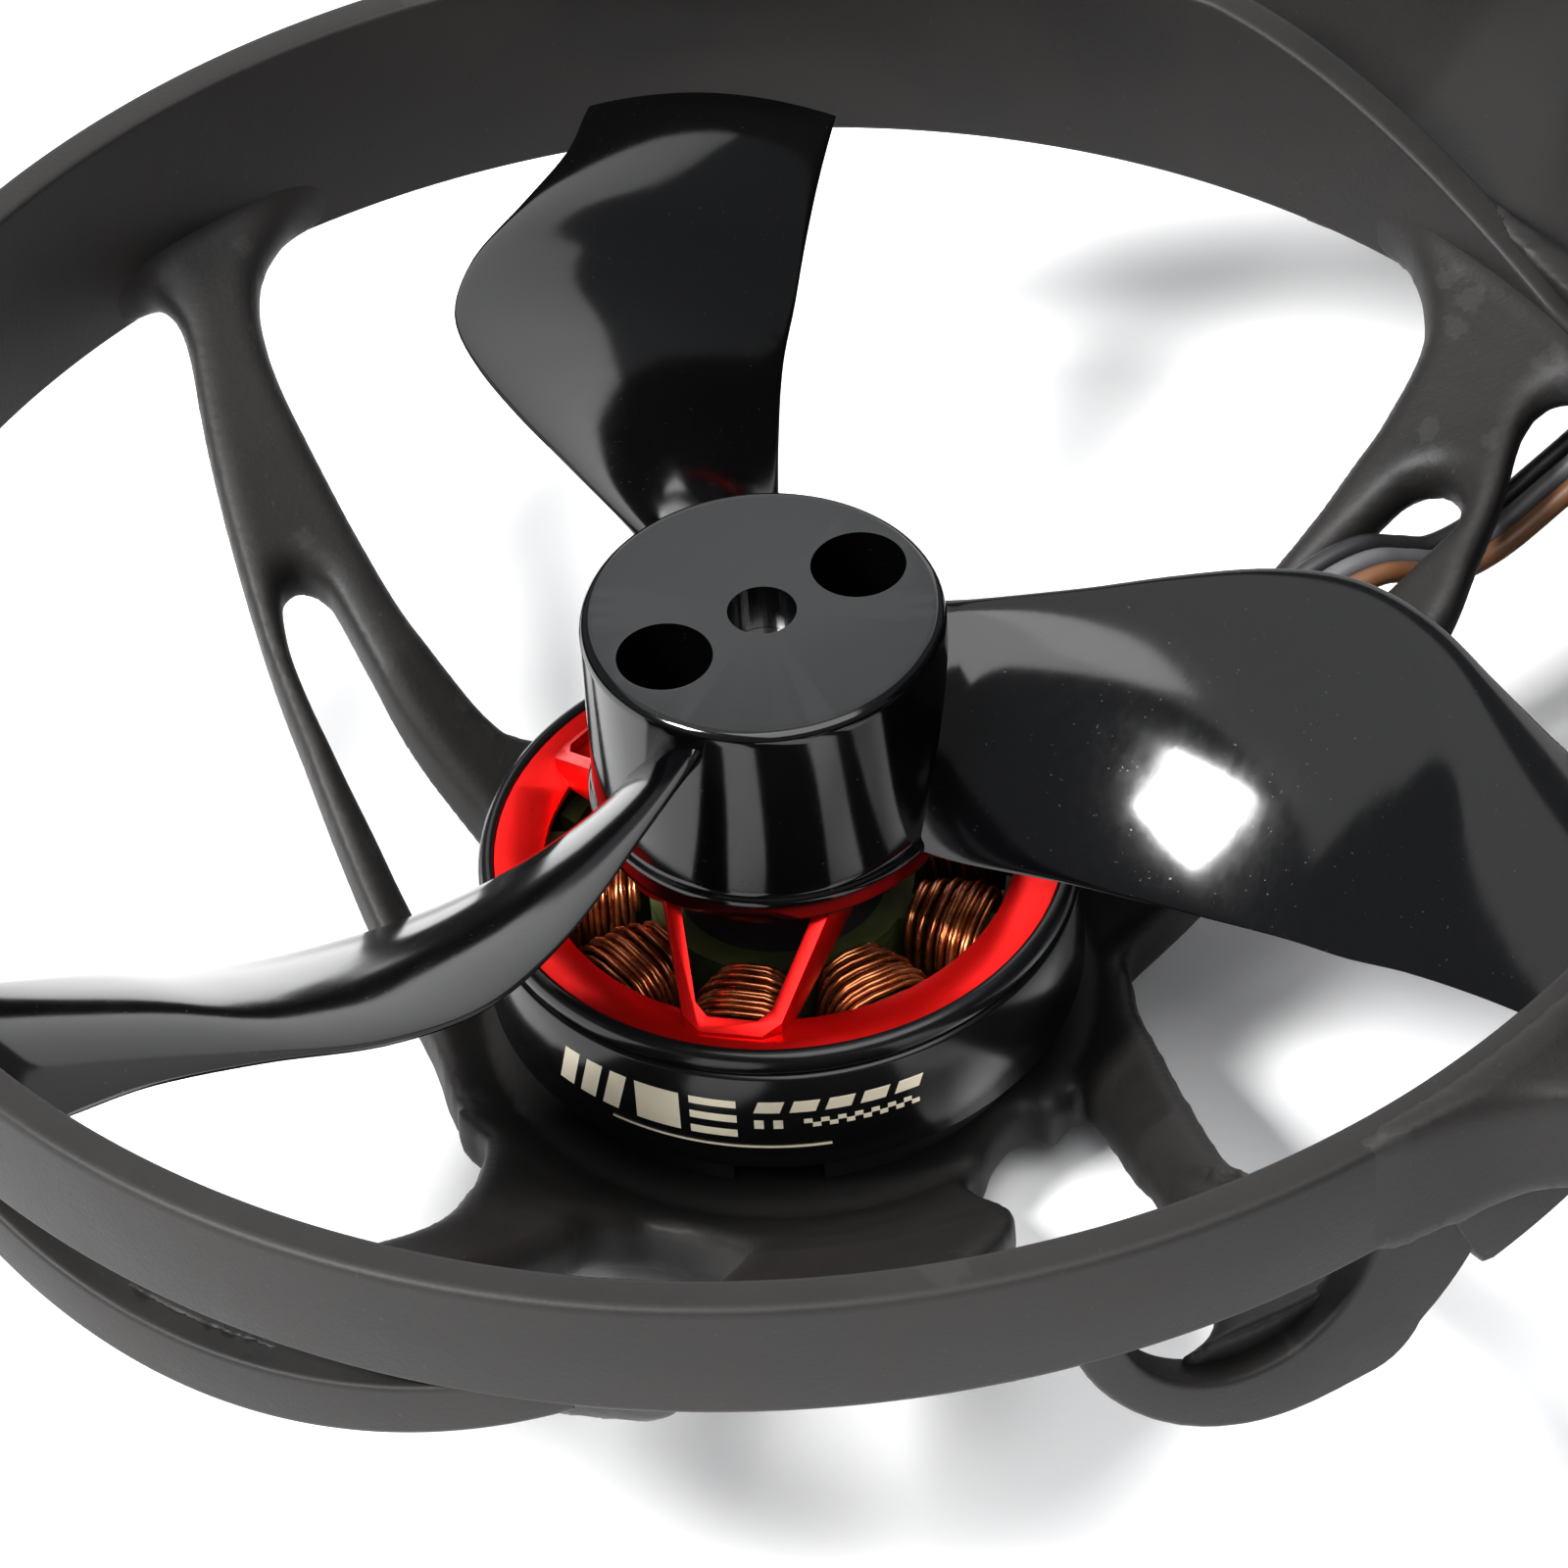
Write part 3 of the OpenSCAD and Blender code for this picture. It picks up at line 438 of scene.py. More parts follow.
def moulded_plastic(name, base, rough, grain=0.12, depth=0.012, warm=0.25):
    """Matte moulded nylon: fine grain, soft blotches, pale specks and slightly rubbed edges."""
    m = Nodes(name, base, rough, Specular_IOR_Level=0.3)
    fine = m.noise(grain, 4, 0.65)
    blotch = m.noise(3.2, 3, 0.55)
    specks = m.ramp(m.noise(0.2, 2, 0.7), (0.68, 0.0), (0.78, 1.0))
    darker = tuple(c * 0.72 for c in base)
    lighter = (base[0] * (1.22 + warm * 0.2), base[1] * 1.18, base[2] * (1.18 - warm * 0.2))
    colour = m.mix(m.ramp(blotch, (0.3, 0.0), (0.7, 1.0)), darker, lighter)
    colour = m.mix(m.span(fine, 0.0, 0.55), colour, tuple(c * 1.6 for c in base))
    colour = m.mix(m.maths("MULTIPLY", specks, 0.35), colour, tuple(min(1, c * 3 + 0.02) for c in base))
    colour = m.mix(m.maths("MULTIPLY", m.edges(), 0.35), colour, tuple(min(1, c * 2.2 + 0.01) for c in base))
    m.set("Base Color", colour)
    m.set("Roughness", m.span(blotch, rough - 0.07, rough + 0.1))
    m.bump(fine, depth, 0.7).bump(m.noise(0.7, 2), depth * 1.5, 0.4)
    return m.mat


def glossy_plastic(name, base, rough, dust=0.35):
    """Polished black polycarbonate: faint waviness, hairline scratches and specks of dust."""
    m = Nodes(name, base, rough)
    wave = m.noise(5.0, 2, 0.4)
    hair = m.noise(0.35, 5, 0.7, vector=m.stretched((1, 0.08, 1)))
    grit = m.ramp(m.noise(0.09, 2, 0.6), (0.7, 0.0), (0.76, 1.0))
    m.set("Base Color", m.mix(m.maths("MULTIPLY", grit, dust), base, tuple(c * 6 + 0.03 for c in base)))
    scuffed = m.maths("ADD", m.span(hair, rough - 0.03, rough + 0.05), m.maths("MULTIPLY", grit, 0.25))
    m.set("Roughness", scuffed)
    m.bump(wave, 0.05, 0.35).bump(hair, 0.002, 0.35)
    return m.mat


def metal(name, base, rough, grain=0.05, depth=0.0015, around=True, stain=0.2, metallic=1.0):
    """Turned or drawn metal: fine tool lines, small stains and varied polish."""
    m = Nodes(name, base, rough, metallic)
    lines = m.noise(grain, 3, 0.6, vector=m.stretched((0.15, 0.15, 2.4) if around else (2.4, 0.15, 0.15)))
    stains = m.noise(1.4, 4, 0.6)
    m.set("Base Color", m.mix(m.maths("MULTIPLY", m.ramp(stains, (0.45, 0.0), (0.75, 1.0)), stain),
                              base, tuple(c * 0.55 for c in base)))
    m.set("Roughness", m.span(lines, rough - 0.07, rough + 0.1))
    m.bump(lines, depth, 0.6)
    return m.mat


nylon = moulded_plastic("nylon_black", (0.0118, 0.0111, 0.0106), 0.52)
nylon_canopy = moulded_plastic("canopy_nylon", (0.016, 0.0165, 0.018), 0.46, grain=0.1, depth=0.01, warm=0.0)
blade_black = glossy_plastic("propeller_gloss", (0.0016, 0.0017, 0.002), 0.1)
hub_satin = moulded_plastic("propeller_hub_face", (0.009, 0.0102, 0.0108), 0.46, grain=0.07, depth=0.004,
                            warm=0.0)
bell_black = metal("bell_black_anodised", (0.012, 0.012, 0.013), 0.2, depth=0.0008, stain=0.1, metallic=0.35)
bell_red = metal("bell_red_anodised", (0.72, 0.012, 0.010), 0.3, depth=0.001, stain=0.25, metallic=0.8)
print_gold = metal("bell_print_ink", (0.84, 0.76, 0.60), 0.38, metallic=0.3, stain=0.15)
magnet_plate = metal("magnet_nickel", (0.46, 0.46, 0.45), 0.3, around=False)
steel = metal("shaft_steel", (0.62, 0.62, 0.63), 0.22)
bearing_steel = metal("bearing_steel", (0.55, 0.55, 0.56), 0.2)
base_black = moulded_plastic("motor_base_black", (0.018, 0.018, 0.019), 0.4, grain=0.08, depth=0.005,
                             warm=0.0)
screw_black = metal("screw_black_oxide", (0.06, 0.06, 0.065), 0.35, around=False)


def copper_wire():
    """Enamelled copper: darker and brighter turns under a clear coat."""
    m = Nodes("copper_enamelled", (0.5, 0.17, 0.06), 0.3, 0.9, Coat_Weight=0.5, Coat_Roughness=0.12)
    tone = m.noise(0.5, 3, 0.6)
    m.set("Base Color", m.ramp(tone, (0.25, (0.2, 0.05, 0.018)), (0.5, (0.42, 0.14, 0.05)),
                               (0.8, (0.66, 0.28, 0.12))))
    m.set("Roughness", m.span(m.noise(0.2, 3), 0.2, 0.38))
    m.bump(m.noise(0.06, 2), 0.003, 0.4)
    return m.mat


def stator_coat():
    """Dark green epoxy over the laminated core."""
    m = Nodes("stator_epoxy", (0.045, 0.055, 0.02), 0.42)
    layers = m.node("ShaderNodeTexWave", props={"bands_direction": "Z"}, outs="Fac", Vector=m.coord,
                    Scale=1 / (0.9 * MM), Distortion=0.4)
    m.set("Base Color", m.mix(m.noise(0.6, 3), (0.025, 0.032, 0.012), (0.08, 0.095, 0.035)))
    m.bump(layers, 0.01, 0.5).bump(m.noise(0.15, 3), 0.01, 0.5)
    return m.mat


def rubber(name, base, rough):
    """Soft silicone or rubber: cloudy tone and a fine bloom."""
    m = Nodes(name, base, rough)
    darker, lighter = tuple(c * 0.75 for c in base), tuple(min(1, c * 1.3) for c in base)
    m.set("Base Color", m.mix(m.noise(0.8, 3), darker, lighter))
    m.set("Roughness", m.span(m.noise(0.25, 3), rough - 0.08, rough + 0.1))
    m.bump(m.noise(0.1, 3), 0.006, 0.5)
    return m.mat


def board_mask():
    """Dark blue solder mask over etched tracks, with tinned vias."""
    m = Nodes("board_solder_mask", (0.01, 0.02, 0.05), 0.32, Coat_Weight=0.4, Coat_Roughness=0.18)
    track = m.node("ShaderNodeTexBrick", outs="Fac", Vector=m.stretched((1, 1, 0)), Scale=420.0,
                   Mortar_Size=0.035, Mortar_Smooth=0.1, Brick_Width=0.9, Row_Height=0.3)
    dots = m.ramp(m.cells(1.1, vector=m.stretched((1, 1, 0))), (0.13, 1.0), (0.16, 0.0))
    colour = m.mix(m.maths("MULTIPLY", track, 0.5), (0.008, 0.014, 0.036), (0.02, 0.05, 0.11))
    m.set("Base Color", m.mix(m.maths("MULTIPLY", dots, 0.5), colour, (0.5, 0.46, 0.36)))
    m.set("Roughness", m.span(m.noise(0.3, 3), 0.26, 0.4))
    m.bump(track, 0.012, 0.6).bump(m.noise(0.12, 3), 0.004, 0.4)
    return m.mat


def shrink_wrap():
    """Printed heat-shrink: navy film with a paler band and shallow wrinkles."""
    m = Nodes("battery_shrink_wrap", (0.02, 0.035, 0.10), 0.3, Coat_Weight=0.6, Coat_Roughness=0.15)
    split = m.node("ShaderNodeSeparateXYZ", outs="Y", Vector=m.coord)
    along = m.span(split, 0.0, 1.0, lo=-0.03, hi=0.03)
    band = m.ramp(along, (0.2, 0.0), (0.205, 1.0), (0.30, 1.0), (0.305, 0.0))
    tone = m.mix(m.noise(2.5, 3), (0.014, 0.026, 0.075), (0.03, 0.055, 0.15))
    m.set("Base Color", m.mix(band, tone, (0.32, 0.36, 0.42)))
    wrinkle = m.noise(2.2, 3, 0.5, vector=m.stretched((1, 0.25, 1)), distortion=0.6)
    m.set("Roughness", m.span(m.noise(0.6, 3), 0.24, 0.42))
    m.bump(wrinkle, 0.12, 0.5).bump(m.noise(0.1, 2), 0.003, 0.4)
    return m.mat


def lens_glass():
    """Coated lens: deep violet that turns green at the rim."""
    m = Nodes("camera_lens_coating", (0.012, 0.010, 0.03), 0.05, Coat_Weight=1.0, Coat_Roughness=0.02)
    facing = m.node("ShaderNodeLayerWeight", outs="Facing", Blend=0.4)
    m.set("Base Color", m.ramp(facing, (0.0, (0.01, 0.012, 0.05)), (0.5, (0.035, 0.012, 0.05)),
                               (1.0, (0.01, 0.03, 0.02))))
    m.set("Roughness", m.span(m.noise(1.5, 3), 0.03, 0.08))
    return m.mat


copper = copper_wire()
stator_paint = stator_coat()
lead_skins = [rubber("lead_silicone_brown", (0.12, 0.055, 0.025), 0.45),
              rubber("lead_silicone_grey", (0.09, 0.09, 0.095), 0.45),
              rubber("lead_silicone_black", (0.018, 0.018, 0.02), 0.45)]
grommet_rubber = rubber("grommet_rubber", (0.02, 0.02, 0.02), 0.65)
antenna_skin = rubber("antenna_heat_shrink", (0.02, 0.02, 0.022), 0.5)
mask = board_mask()
chip = moulded_plastic("chip_epoxy", (0.02, 0.02, 0.022), 0.45, grain=0.05, depth=0.003, warm=0.0)
wrap = shrink_wrap()
glass = lens_glass()
camera_shell = moulded_plastic("camera_plastic", (0.022, 0.022, 0.024), 0.38, grain=0.08, depth=0.006,
                               warm=0.0)
tin = metal("solder_tin", (0.66, 0.66, 0.64), 0.26)
button_white = moulded_plastic("button_plastic", (0.72, 0.70, 0.64), 0.4, grain=0.08, depth=0.003, warm=0.3)


# ---------- duct wall ----------

def ease(x, a, b):
    t = np.clip((np.asarray(x, float) - a) / (b - a), 0, 1)
    return t * t * (3 - 2 * t)


def wall_bottom(deg):
    """Height of the wall's lower edge at an angle about the motor axis; 0 is toward +X before mirroring."""
    d = (np.asarray(deg, float) + 30) % 360 - 30
    rise = DEEP + (BAND - DEEP) * np.clip((d - 192.5) / 30, 0, 1)
    deep = np.where(d > 150, rise, DEEP)
    step = ease(d, -23, -19)
    return np.where(d < 20, BAND + (DEEP - BAND) * step, deep)


def wall_top(deg):
    """Height of the wall's upper edge, which dips where the centre deck joins it."""
    d = np.abs((np.asarray(deg, float) + 180 - 45) % 360 - 180)
    t = np.clip((44.5 - d) / (44.5 - 16), 0, 1)
    t = t * t * (3 - 2 * t) * 0.35 + t * 0.65
    return RIM - (RIM - box_mm("centre_deck")[0][2] - 1.8) * t


def duct_wall():
    loops = []
    for d in np.arange(0, 360, 0.75):
        lo, hi = wall_bottom(d), wall_top(d)
        section = rounded([(DUCT_IN, lo), (DUCT_OUT, lo), (DUCT_OUT, hi), (DUCT_IN, hi)],
                          [0.14, 0.16, 0.24, 0.16])
        mid = (lo + hi) / 2
        a = math.radians(d)
        section = np.concatenate([section[:10], [[DUCT_OUT, mid]], section[10:], [[DUCT_IN, mid]]])
        loops.append(np.stack([section[:, 0] * math.cos(a), section[:, 0] * math.sin(a), section[:, 1]], 1))
    verts, faces = loft(loops, True)
    return verts, [tuple(reversed(f)) for f in faces]


def bent_strip(inner, outer, centre_deg, inset=0.014, r=0.16):
    """A flat strip between two edges of (along the wall, height), bent round the wall's curve."""
    loops = []
    for (xi, zi), (xo, zo) in zip(inner, outer):
        u = np.array([xo - xi, zo - zi])
        length = max(np.linalg.norm(u), 0.05)
        u /= max(np.linalg.norm(u), 1e-6)
        section = rounded([(0, DUCT_IN + inset), (length, DUCT_IN + inset), (length, DUCT_OUT - inset),
                           (0, DUCT_OUT - inset)], min(r, length * 0.4))
        x, z = xi + u[0] * section[:, 0], zi + u[1] * section[:, 0]
        a = math.radians(centre_deg) + np.arcsin(np.clip(x / DUCT_MID, -1, 1))
        loops.append(np.stack([section[:, 1] * np.cos(a), section[:, 1] * np.sin(a), z], 1))
    return loft(loops)


# the crescent under the front of the wall: half its span, its depth and the radius of its lower edge
SPAN, DROP = 9.1, 2.6
CRESCENT_R = (SPAN ** 2 + DROP ** 2) / (2 * DROP)


def front_crescent():
    slot_half, slot_drop = 6.4, 1.1
    small = (slot_half ** 2 + slot_drop ** 2) / (2 * slot_drop)
    x = np.linspace(-SPAN + 0.2, SPAN - 0.2, 90)
    low = BAND - DROP + CRESCENT_R - np.sqrt(CRESCENT_R ** 2 - x ** 2)
    high = np.minimum(BAND - slot_drop + small - np.sqrt(small ** 2 - x ** 2), BAND + 0.35)
    high = np.maximum(high, low + 0.3)
    return bent_strip(list(zip(x, high)), list(zip(x, low)), -95)


LOOP_LOW = RIM - 6.6  # lowest point of the foot loop


def side_loop():
    """Half ring under the wall, whose outer edge is a circle with a squarer corner on one side."""
    bottom = LOOP_LOW
    cx, cz, hole = -0.9, bottom + 4.6, 2.9
    inner, outer = [], []
    for deg in np.linspace(190, 350, 70):
        c, s = math.cos(math.radians(deg)), math.sin(math.radians(deg))
        reach = np.arange(hole + 0.3, 7, 0.01)
        x, z = cx + reach * c, cz + reach * s
        within = np.hypot(x - 0.4, z - bottom - 5.3) < 5.3
        within |= np.hypot(x - 1.9, z - bottom - 1.3) < 1.3
        within |= (x > 0.4) & (x < 3.2) & (z > bottom + 1.3)
        within |= (x > 0.4) & (x < 1.9) & (z > bottom)
        far = reach[within].max()
        inner.append((cx + hole * c, cz + hole * s))
        outer.append((cx + far * c, cz + far * s))
    return bent_strip(inner, outer, -32)


# ---------- arms ----------

# upper and lower face of the arms, as (radius, height)
ARM_TOP = [(0, 2.4), (7, 2.4), (11.6, 6.4), (16.6, 9.4), (20.2, 11.2), (22, 12.2)]
ARM_LOW = [(0, 0.8), (7.4, 0.8), (12, 5), (17, 8.1), (20.3, 9.9), (22, 10.3)]
# outlines from above, round the motor axis
OUTER_FORK = [
    (-13.4, 18), (-13.05, 15), (-12.55, 11.6), (-11.6, 7.7), (-10.55, 4.6), (-9.4, 1.6), (-8.2, -1.2),
    (-7.3, -3.6), (-4, -2), (-4, 6.6), (-6.2, 7.3), (-7.3, 8.1), (-8.25, 9.1), (-9.1, 10.45),
    (-9.9, 11.9), (-10.75, 13.6), (-11.2, 14.95), (-11.35, 16.5), (-11.2, 18.8)]
FORK_GAP = [
    (-11.1, 8.9), (-10.95, 9.4), (-10.6, 9.65), (-10.2, 9.55), (-9.9, 9.2), (-8.9, 7.4), (-8.2, 6.5),
    (-7.4, 5.75), (-6.8, 5.2), (-6.4, 4.4), (-6.7, 2.8), (-7.3, 1.8), (-8.1, 1.7), (-8.6, 2.5),
    (-9.2, 3.75), (-9.9, 5.1), (-10.5, 6.4), (-10.95, 7.7)]
FRONT_ARM = [
    (-2, 0), (-7.3, -3.5), (-7, -4.8), (-7.05, -6.45), (-7.3, -8.9), (-7.9, -10.8), (-9.2, -12.6),
    (-11.6, -15), (-14.8, -17.8), (-12.4, -19.8), (-9.2, -16.6), (-6.9, -13.6), (-5.15, -11.1),
    (-4.6, -9.1), (-3.4, -7.8), (0, -3)]
WIDE_ARM = [
    (-4.4, -4), (-3.5, -7.7), (-2.2, -8.8), (-1.3, -10.7), (-2.3, -13.6), (-4.6, -16.9), (-8.6, -20.6),
    (-5.4, -21.8), (-1, -18), (2.6, -14.6), (4.45, -11.4), (3.9, -8), (3.65, -6.2), (4.1, -5), (3, 0)]
SIDE_ARM = [
    (3, 1), (5.2, -4), (6.3, -3.6), (6.6, -4.3), (6.9, -6.6), (7.15, -9.5), (7.5, -11.3), (8.6, -20.6),
    (10.4, -19.8), (9, -11.1), (8.55, -8), (8.2, -4.4), (7.85, -2), (7.5, 0.2), (5, 2)]
INNER_ARM = [
    (16.6, 14.6), (15.75, 11.6), (14.7, 10), (13.8, 9.1), (12.2, 7.8), (9.6, 6.2), (6.4, 5.4), (2, 3),
    (5, -1), (7.4, 0.2), (9.4, 0.75), (12.4, 1.9), (15.2, 3.8), (16.3, 5.5), (17, 6.75), (17.9, 8.7),
    (19.8, 9.9), (19.4, 11.6)]


def outline(x, y, points):
    """Distance to a smooth closed outline through the points, negative inside."""
    # four steps a point; the overlap that joins the two ends smoothly is cut off
    p = spline(points[-2:] + points + points[:2], 4 * len(points) + 13)[8:-5]
    away = np.full(x.shape, 1e9)
    within = np.zeros(x.shape, bool)
    for a, b in zip(np.roll(p, 1, axis=0), p):
        d = b - a
        if not d.any():
            continue
        t = np.clip(((x - a[0]) * d[0] + (y - a[1]) * d[1]) / (d @ d), 0, 1)
        away = np.minimum(away, np.hypot(x - a[0] - t * d[0], y - a[1] - t * d[1]))
        if d[1]:
            within ^= ((a[1] > y) != (b[1] > y)) & (x < a[0] + (y - a[1]) * d[0] / d[1])
    return np.where(within, -away, away)


def capsule(x, y, p, q, half):
    """Distance to a slot with round ends between two points."""
    dx, dy = q[0] - p[0], q[1] - p[1]
    t = np.clip(((x - p[0]) * dx + (y - p[1]) * dy) / (dx * dx + dy * dy), 0, 1)
    return np.hypot(x - p[0] - t * dx, y - p[1] - t * dy) - half


def underside(deg):
    """Height of whatever closes the wall below at an angle: its own edge, the crescent or the foot loop."""
    low = wall_bottom(deg)
    x = DUCT_MID * np.sin(np.radians(np.clip((deg + 95 + 180) % 360 - 180, -60, 60)))
    crescent = BAND - DROP + CRESCENT_R - np.sqrt(CRESCENT_R ** 2 - np.minimum(np.abs(x), SPAN) ** 2)
    low = np.where(np.abs(x) < SPAN, np.minimum(low, crescent), low)
    loop = np.abs((deg + 34 + 180) % 360 - 180) < 11
    return np.where(loop, LOOP_LOW, low)


def arms():
    """The motor seat and arms as one moulded body with fillets, ending inside the wall."""
    step = 0.16
    xs = np.arange(-22.4, 22.4, step)
    zs = np.arange(0.2, 14.6, step)
    x, y = np.meshgrid(xs, xs, indexing="ij")
    r = np.hypot(x, y)
    plan = r - 6.4
    for shape in (OUTER_FORK, FRONT_ARM, WIDE_ARM, SIDE_ARM, INNER_ARM):
        plan = smooth_min(plan, outline(x, y, shape), 0.7)
    plan = np.maximum(smooth_min(plan, DUCT_IN + 0.3 - r, 2.4), plan - 1.4)
    gaps = np.minimum(outline(x, y, FORK_GAP), capsule(x, y, (13, 6.06), (15.1, 7.04), 0.95))
    plan = smooth_max(plan, -np.minimum(gaps, r - 2.2), 0.3)
    deg = np.degrees(np.arctan2(y, x)) + 32
    lift = np.clip(underside(deg) + 0.2 - 10.3, 0, 3) * ease(r, 13, 21)
    # level that the turning blades leave free, rising steeply outside their tips
    swept = 11.05 + 0.2 * (r - 17.5) + 3 * ease(r, 20.1, 21.2)
    top = np.minimum(np.interp(r, *zip(*ARM_TOP)) + lift * 0.6, swept)
    low = np.minimum(np.interp(r, *zip(*ARM_LOW)) + lift, top - 1)
    foot, head = wall_bottom(deg), wall_top(deg)
    z = zs[None, None, :]
    slab = (np.abs(z - ((top + low) / 2)[:, :, None]) - ((top - low) / 2)[:, :, None]) * 0.86
    body = smooth_max(plan[:, :, None], slab, 0.6)
    wall = np.maximum(np.maximum(DUCT_IN + 0.12 - r, r - DUCT_OUT + 0.12)[:, :, None],
                      np.maximum((foot + 0.14)[:, :, None] - z, z - (head - 0.14)[:, :, None]))
    body = smooth_min(body, wall, 0.5)
    body = np.maximum(body, (r - 21.4)[:, :, None])
    verts, quads = surface_nets(body.astype(np.float32), np.array([xs[0], xs[0], zs[0]]), step)
    return turned(verts), quads


ring = joined(duct_wall(), front_crescent(), side_loop())
corner_pieces("duct_wall", ring[0], ring[1], [nylon], "frame", "nylon", "duct", sharp=40)
arm_verts, arm_quads = arms()
corner_pieces("duct_arms", arm_verts, arm_quads.tolist(), [nylon], "frame", "nylon", "duct", sharp=None)


# ---------- propeller ----------

# radius, leading edge angle and drop, trailing edge angle and drop
STATIONS = np.array([
    (3.6, 24, 0.5, -27, 4.9), (5, 21.5, 0.45, -22.6, 4.9), (7, 20, 0.4, -19.4, 4.7),
    (9, 19.4, 0.3, -18.6, 4.45), (11, 18.2, 0.2, -18.6, 4.15), (12.8, 15.6, 0.2, -19, 3.8),
    (14.4, 10.2, 0.3, -20, 3.4), (16, 3, 0.5, -20.8, 2.85), (17.8, -2.5, 0.8, -21.6, 2.4),
    (19.75, -5.5, 1.1, -22.5, 2)])


def blade(n=56, m=40):
    """One cambered blade along +X, its top at height 0, thinned toward the tip and thickened at the root."""
    rows = spline(STATIONS, n)
    t = (1 - np.cos(np.linspace(0, math.pi, m))) / 2
    loops = []
    for radius, lead, lead_drop, trail, trail_drop in rows:
        root = math.exp(-max(radius - 4, 0) / 0.55)
        tip = math.sqrt(max(1 - ((radius - 19.2) / 0.62) ** 2, 0.02)) if radius > 19.2 else 1
        thick = 0.86 * (1 - 0.42 * radius / 19.8) * tip * (1 + 0.9 * root)
        a = np.radians(lead + (trail - lead) * t)
        drop = -lead_drop - (trail_drop - lead_drop) * t + 0.6 * np.sin(math.pi * t) * (1 - radius / 40)
        even = np.sqrt(np.clip(np.sin(math.pi * t), 0, 1))
        foil = np.sqrt(np.clip(t, 0, 1)) * (1 - t) ** 0.6 * 1.75
        shape = thick / 2 * (0.12 * even + 0.88 * foil)
        top = np.stack([radius * np.cos(a), radius * np.sin(a), drop + shape], 1)
        low = np.stack([radius * np.cos(a), radius * np.sin(a), drop - shape * 0.9], 1)[::-1]
        loops.append(np.concatenate([top, low[1:-1]]))
    return loft(loops)


def drilled(verts, faces, holes):
    """The solid with round holes of (x, y, radius, low, high) cut by an exact boolean."""
    obj = new_object("tmp_body", verts, faces, [blade_black])
    for x, y, radius, low, high in holes:
        bore_verts, bore_faces = lathe([(0, low), (radius, low), (radius, high), (0, high)], 48)
        bore_verts, bore_faces = cleaned(np.array(bore_verts) + (x, y, 0), bore_faces, 1e-5)
        mesh = bpy.data.meshes.new("tmp_cut")
        mesh.from_pydata(bore_verts, [], bore_faces)
        cut = bpy.data.objects.new("tmp_cut", mesh)
        bpy.context.scene.collection.objects.link(cut)
        mod = obj.modifiers.new("cut", "BOOLEAN")
        mod.operation = "DIFFERENCE"
        mod.solver = "EXACT"
        mod.object = cut
        bake_modifiers(obj)
        bpy.data.objects.remove(cut)
    out = [tuple(v.co) for v in obj.data.vertices], [tuple(p.vertices) for p in obj.data.polygons]
    bpy.data.objects.remove(obj)
    return out


def propellers():
    hub_r, skirt_r, bore_r, side_hole_r, side_hole_at = 4.0, 4.12, 0.76, 1.05, 2.5
    hub_turn, blade_turn = math.radians(30), math.radians(105)
    low = HUB_TOP - 5.5
    profile = rounded([(0.001, low), (skirt_r, low), (skirt_r, low + 0.6), (hub_r, low + 0.75),
                       (hub_r, HUB_TOP), (0.001, HUB_TOP)], [0, 0.12, 0.08, 0.08, 0.34, 0], 5)
    hub_verts, hub_faces = cleaned(*lathe(profile, 144), 0.01)
    hub_verts, hub_faces = drilled(hub_verts, hub_faces, [
        (x, 0, radius, low - 1, HUB_TOP + 1)
        for x, radius in ((0, bore_r), (side_hole_at, side_hole_r), (-side_hole_at, side_hole_r))])
    blade_verts, blade_faces = cleaned(*blade())
    blade_verts = np.array(blade_verts) + np.array([0, 0, HUB_TOP - 0.2])
    blades = [(turned(blade_verts, blade_turn + k * math.tau / 3), blade_faces) for k in range(3)]
    verts, faces, part = joined((turned(hub_verts, hub_turn), hub_faces), *blades)
    on_top = [k == 0 and min(verts[i][2] for i in f) > HUB_TOP - 0.05 for f, k in zip(faces, part)]
    corner_pieces("propeller_moulding", turned(verts), faces, [blade_black, hub_satin], "rotor",
                  "prop_plastic", "propeller", index=on_top, sharp=38)


propellers()


# ---------- motor ----------

def bells():
    r, top = 6.75, BELL_HIGH
    # steps in from the outer radius and down from the top: groove, round lip, seat of the red cap
    lip = [(0, 0.72), (0.03, 0.66), (0.13, 0.62), (0.13, 0.54), (0.05, 0.5), (0.01, 0.42), (0, 0.3),
           (0.03, 0.16), (0.09, 0.06), (0.17, 0.01), (0.26, 0), (0.33, 0.03), (0.37, 0.1), (0.37, 0.5),
           (0.5, 0.5)]
    profile = [(r - 0.5, BELL_LOW), (r - 0.08, BELL_LOW), (r, BELL_LOW + 0.08)]
    profile += [(r - inward, top - down) for inward, down in lip]
    corner_pieces("bell_shell", *lathe(profile, 200), [bell_black], "rotor", "bell_black", "bell_ring",
                  sharp=50)


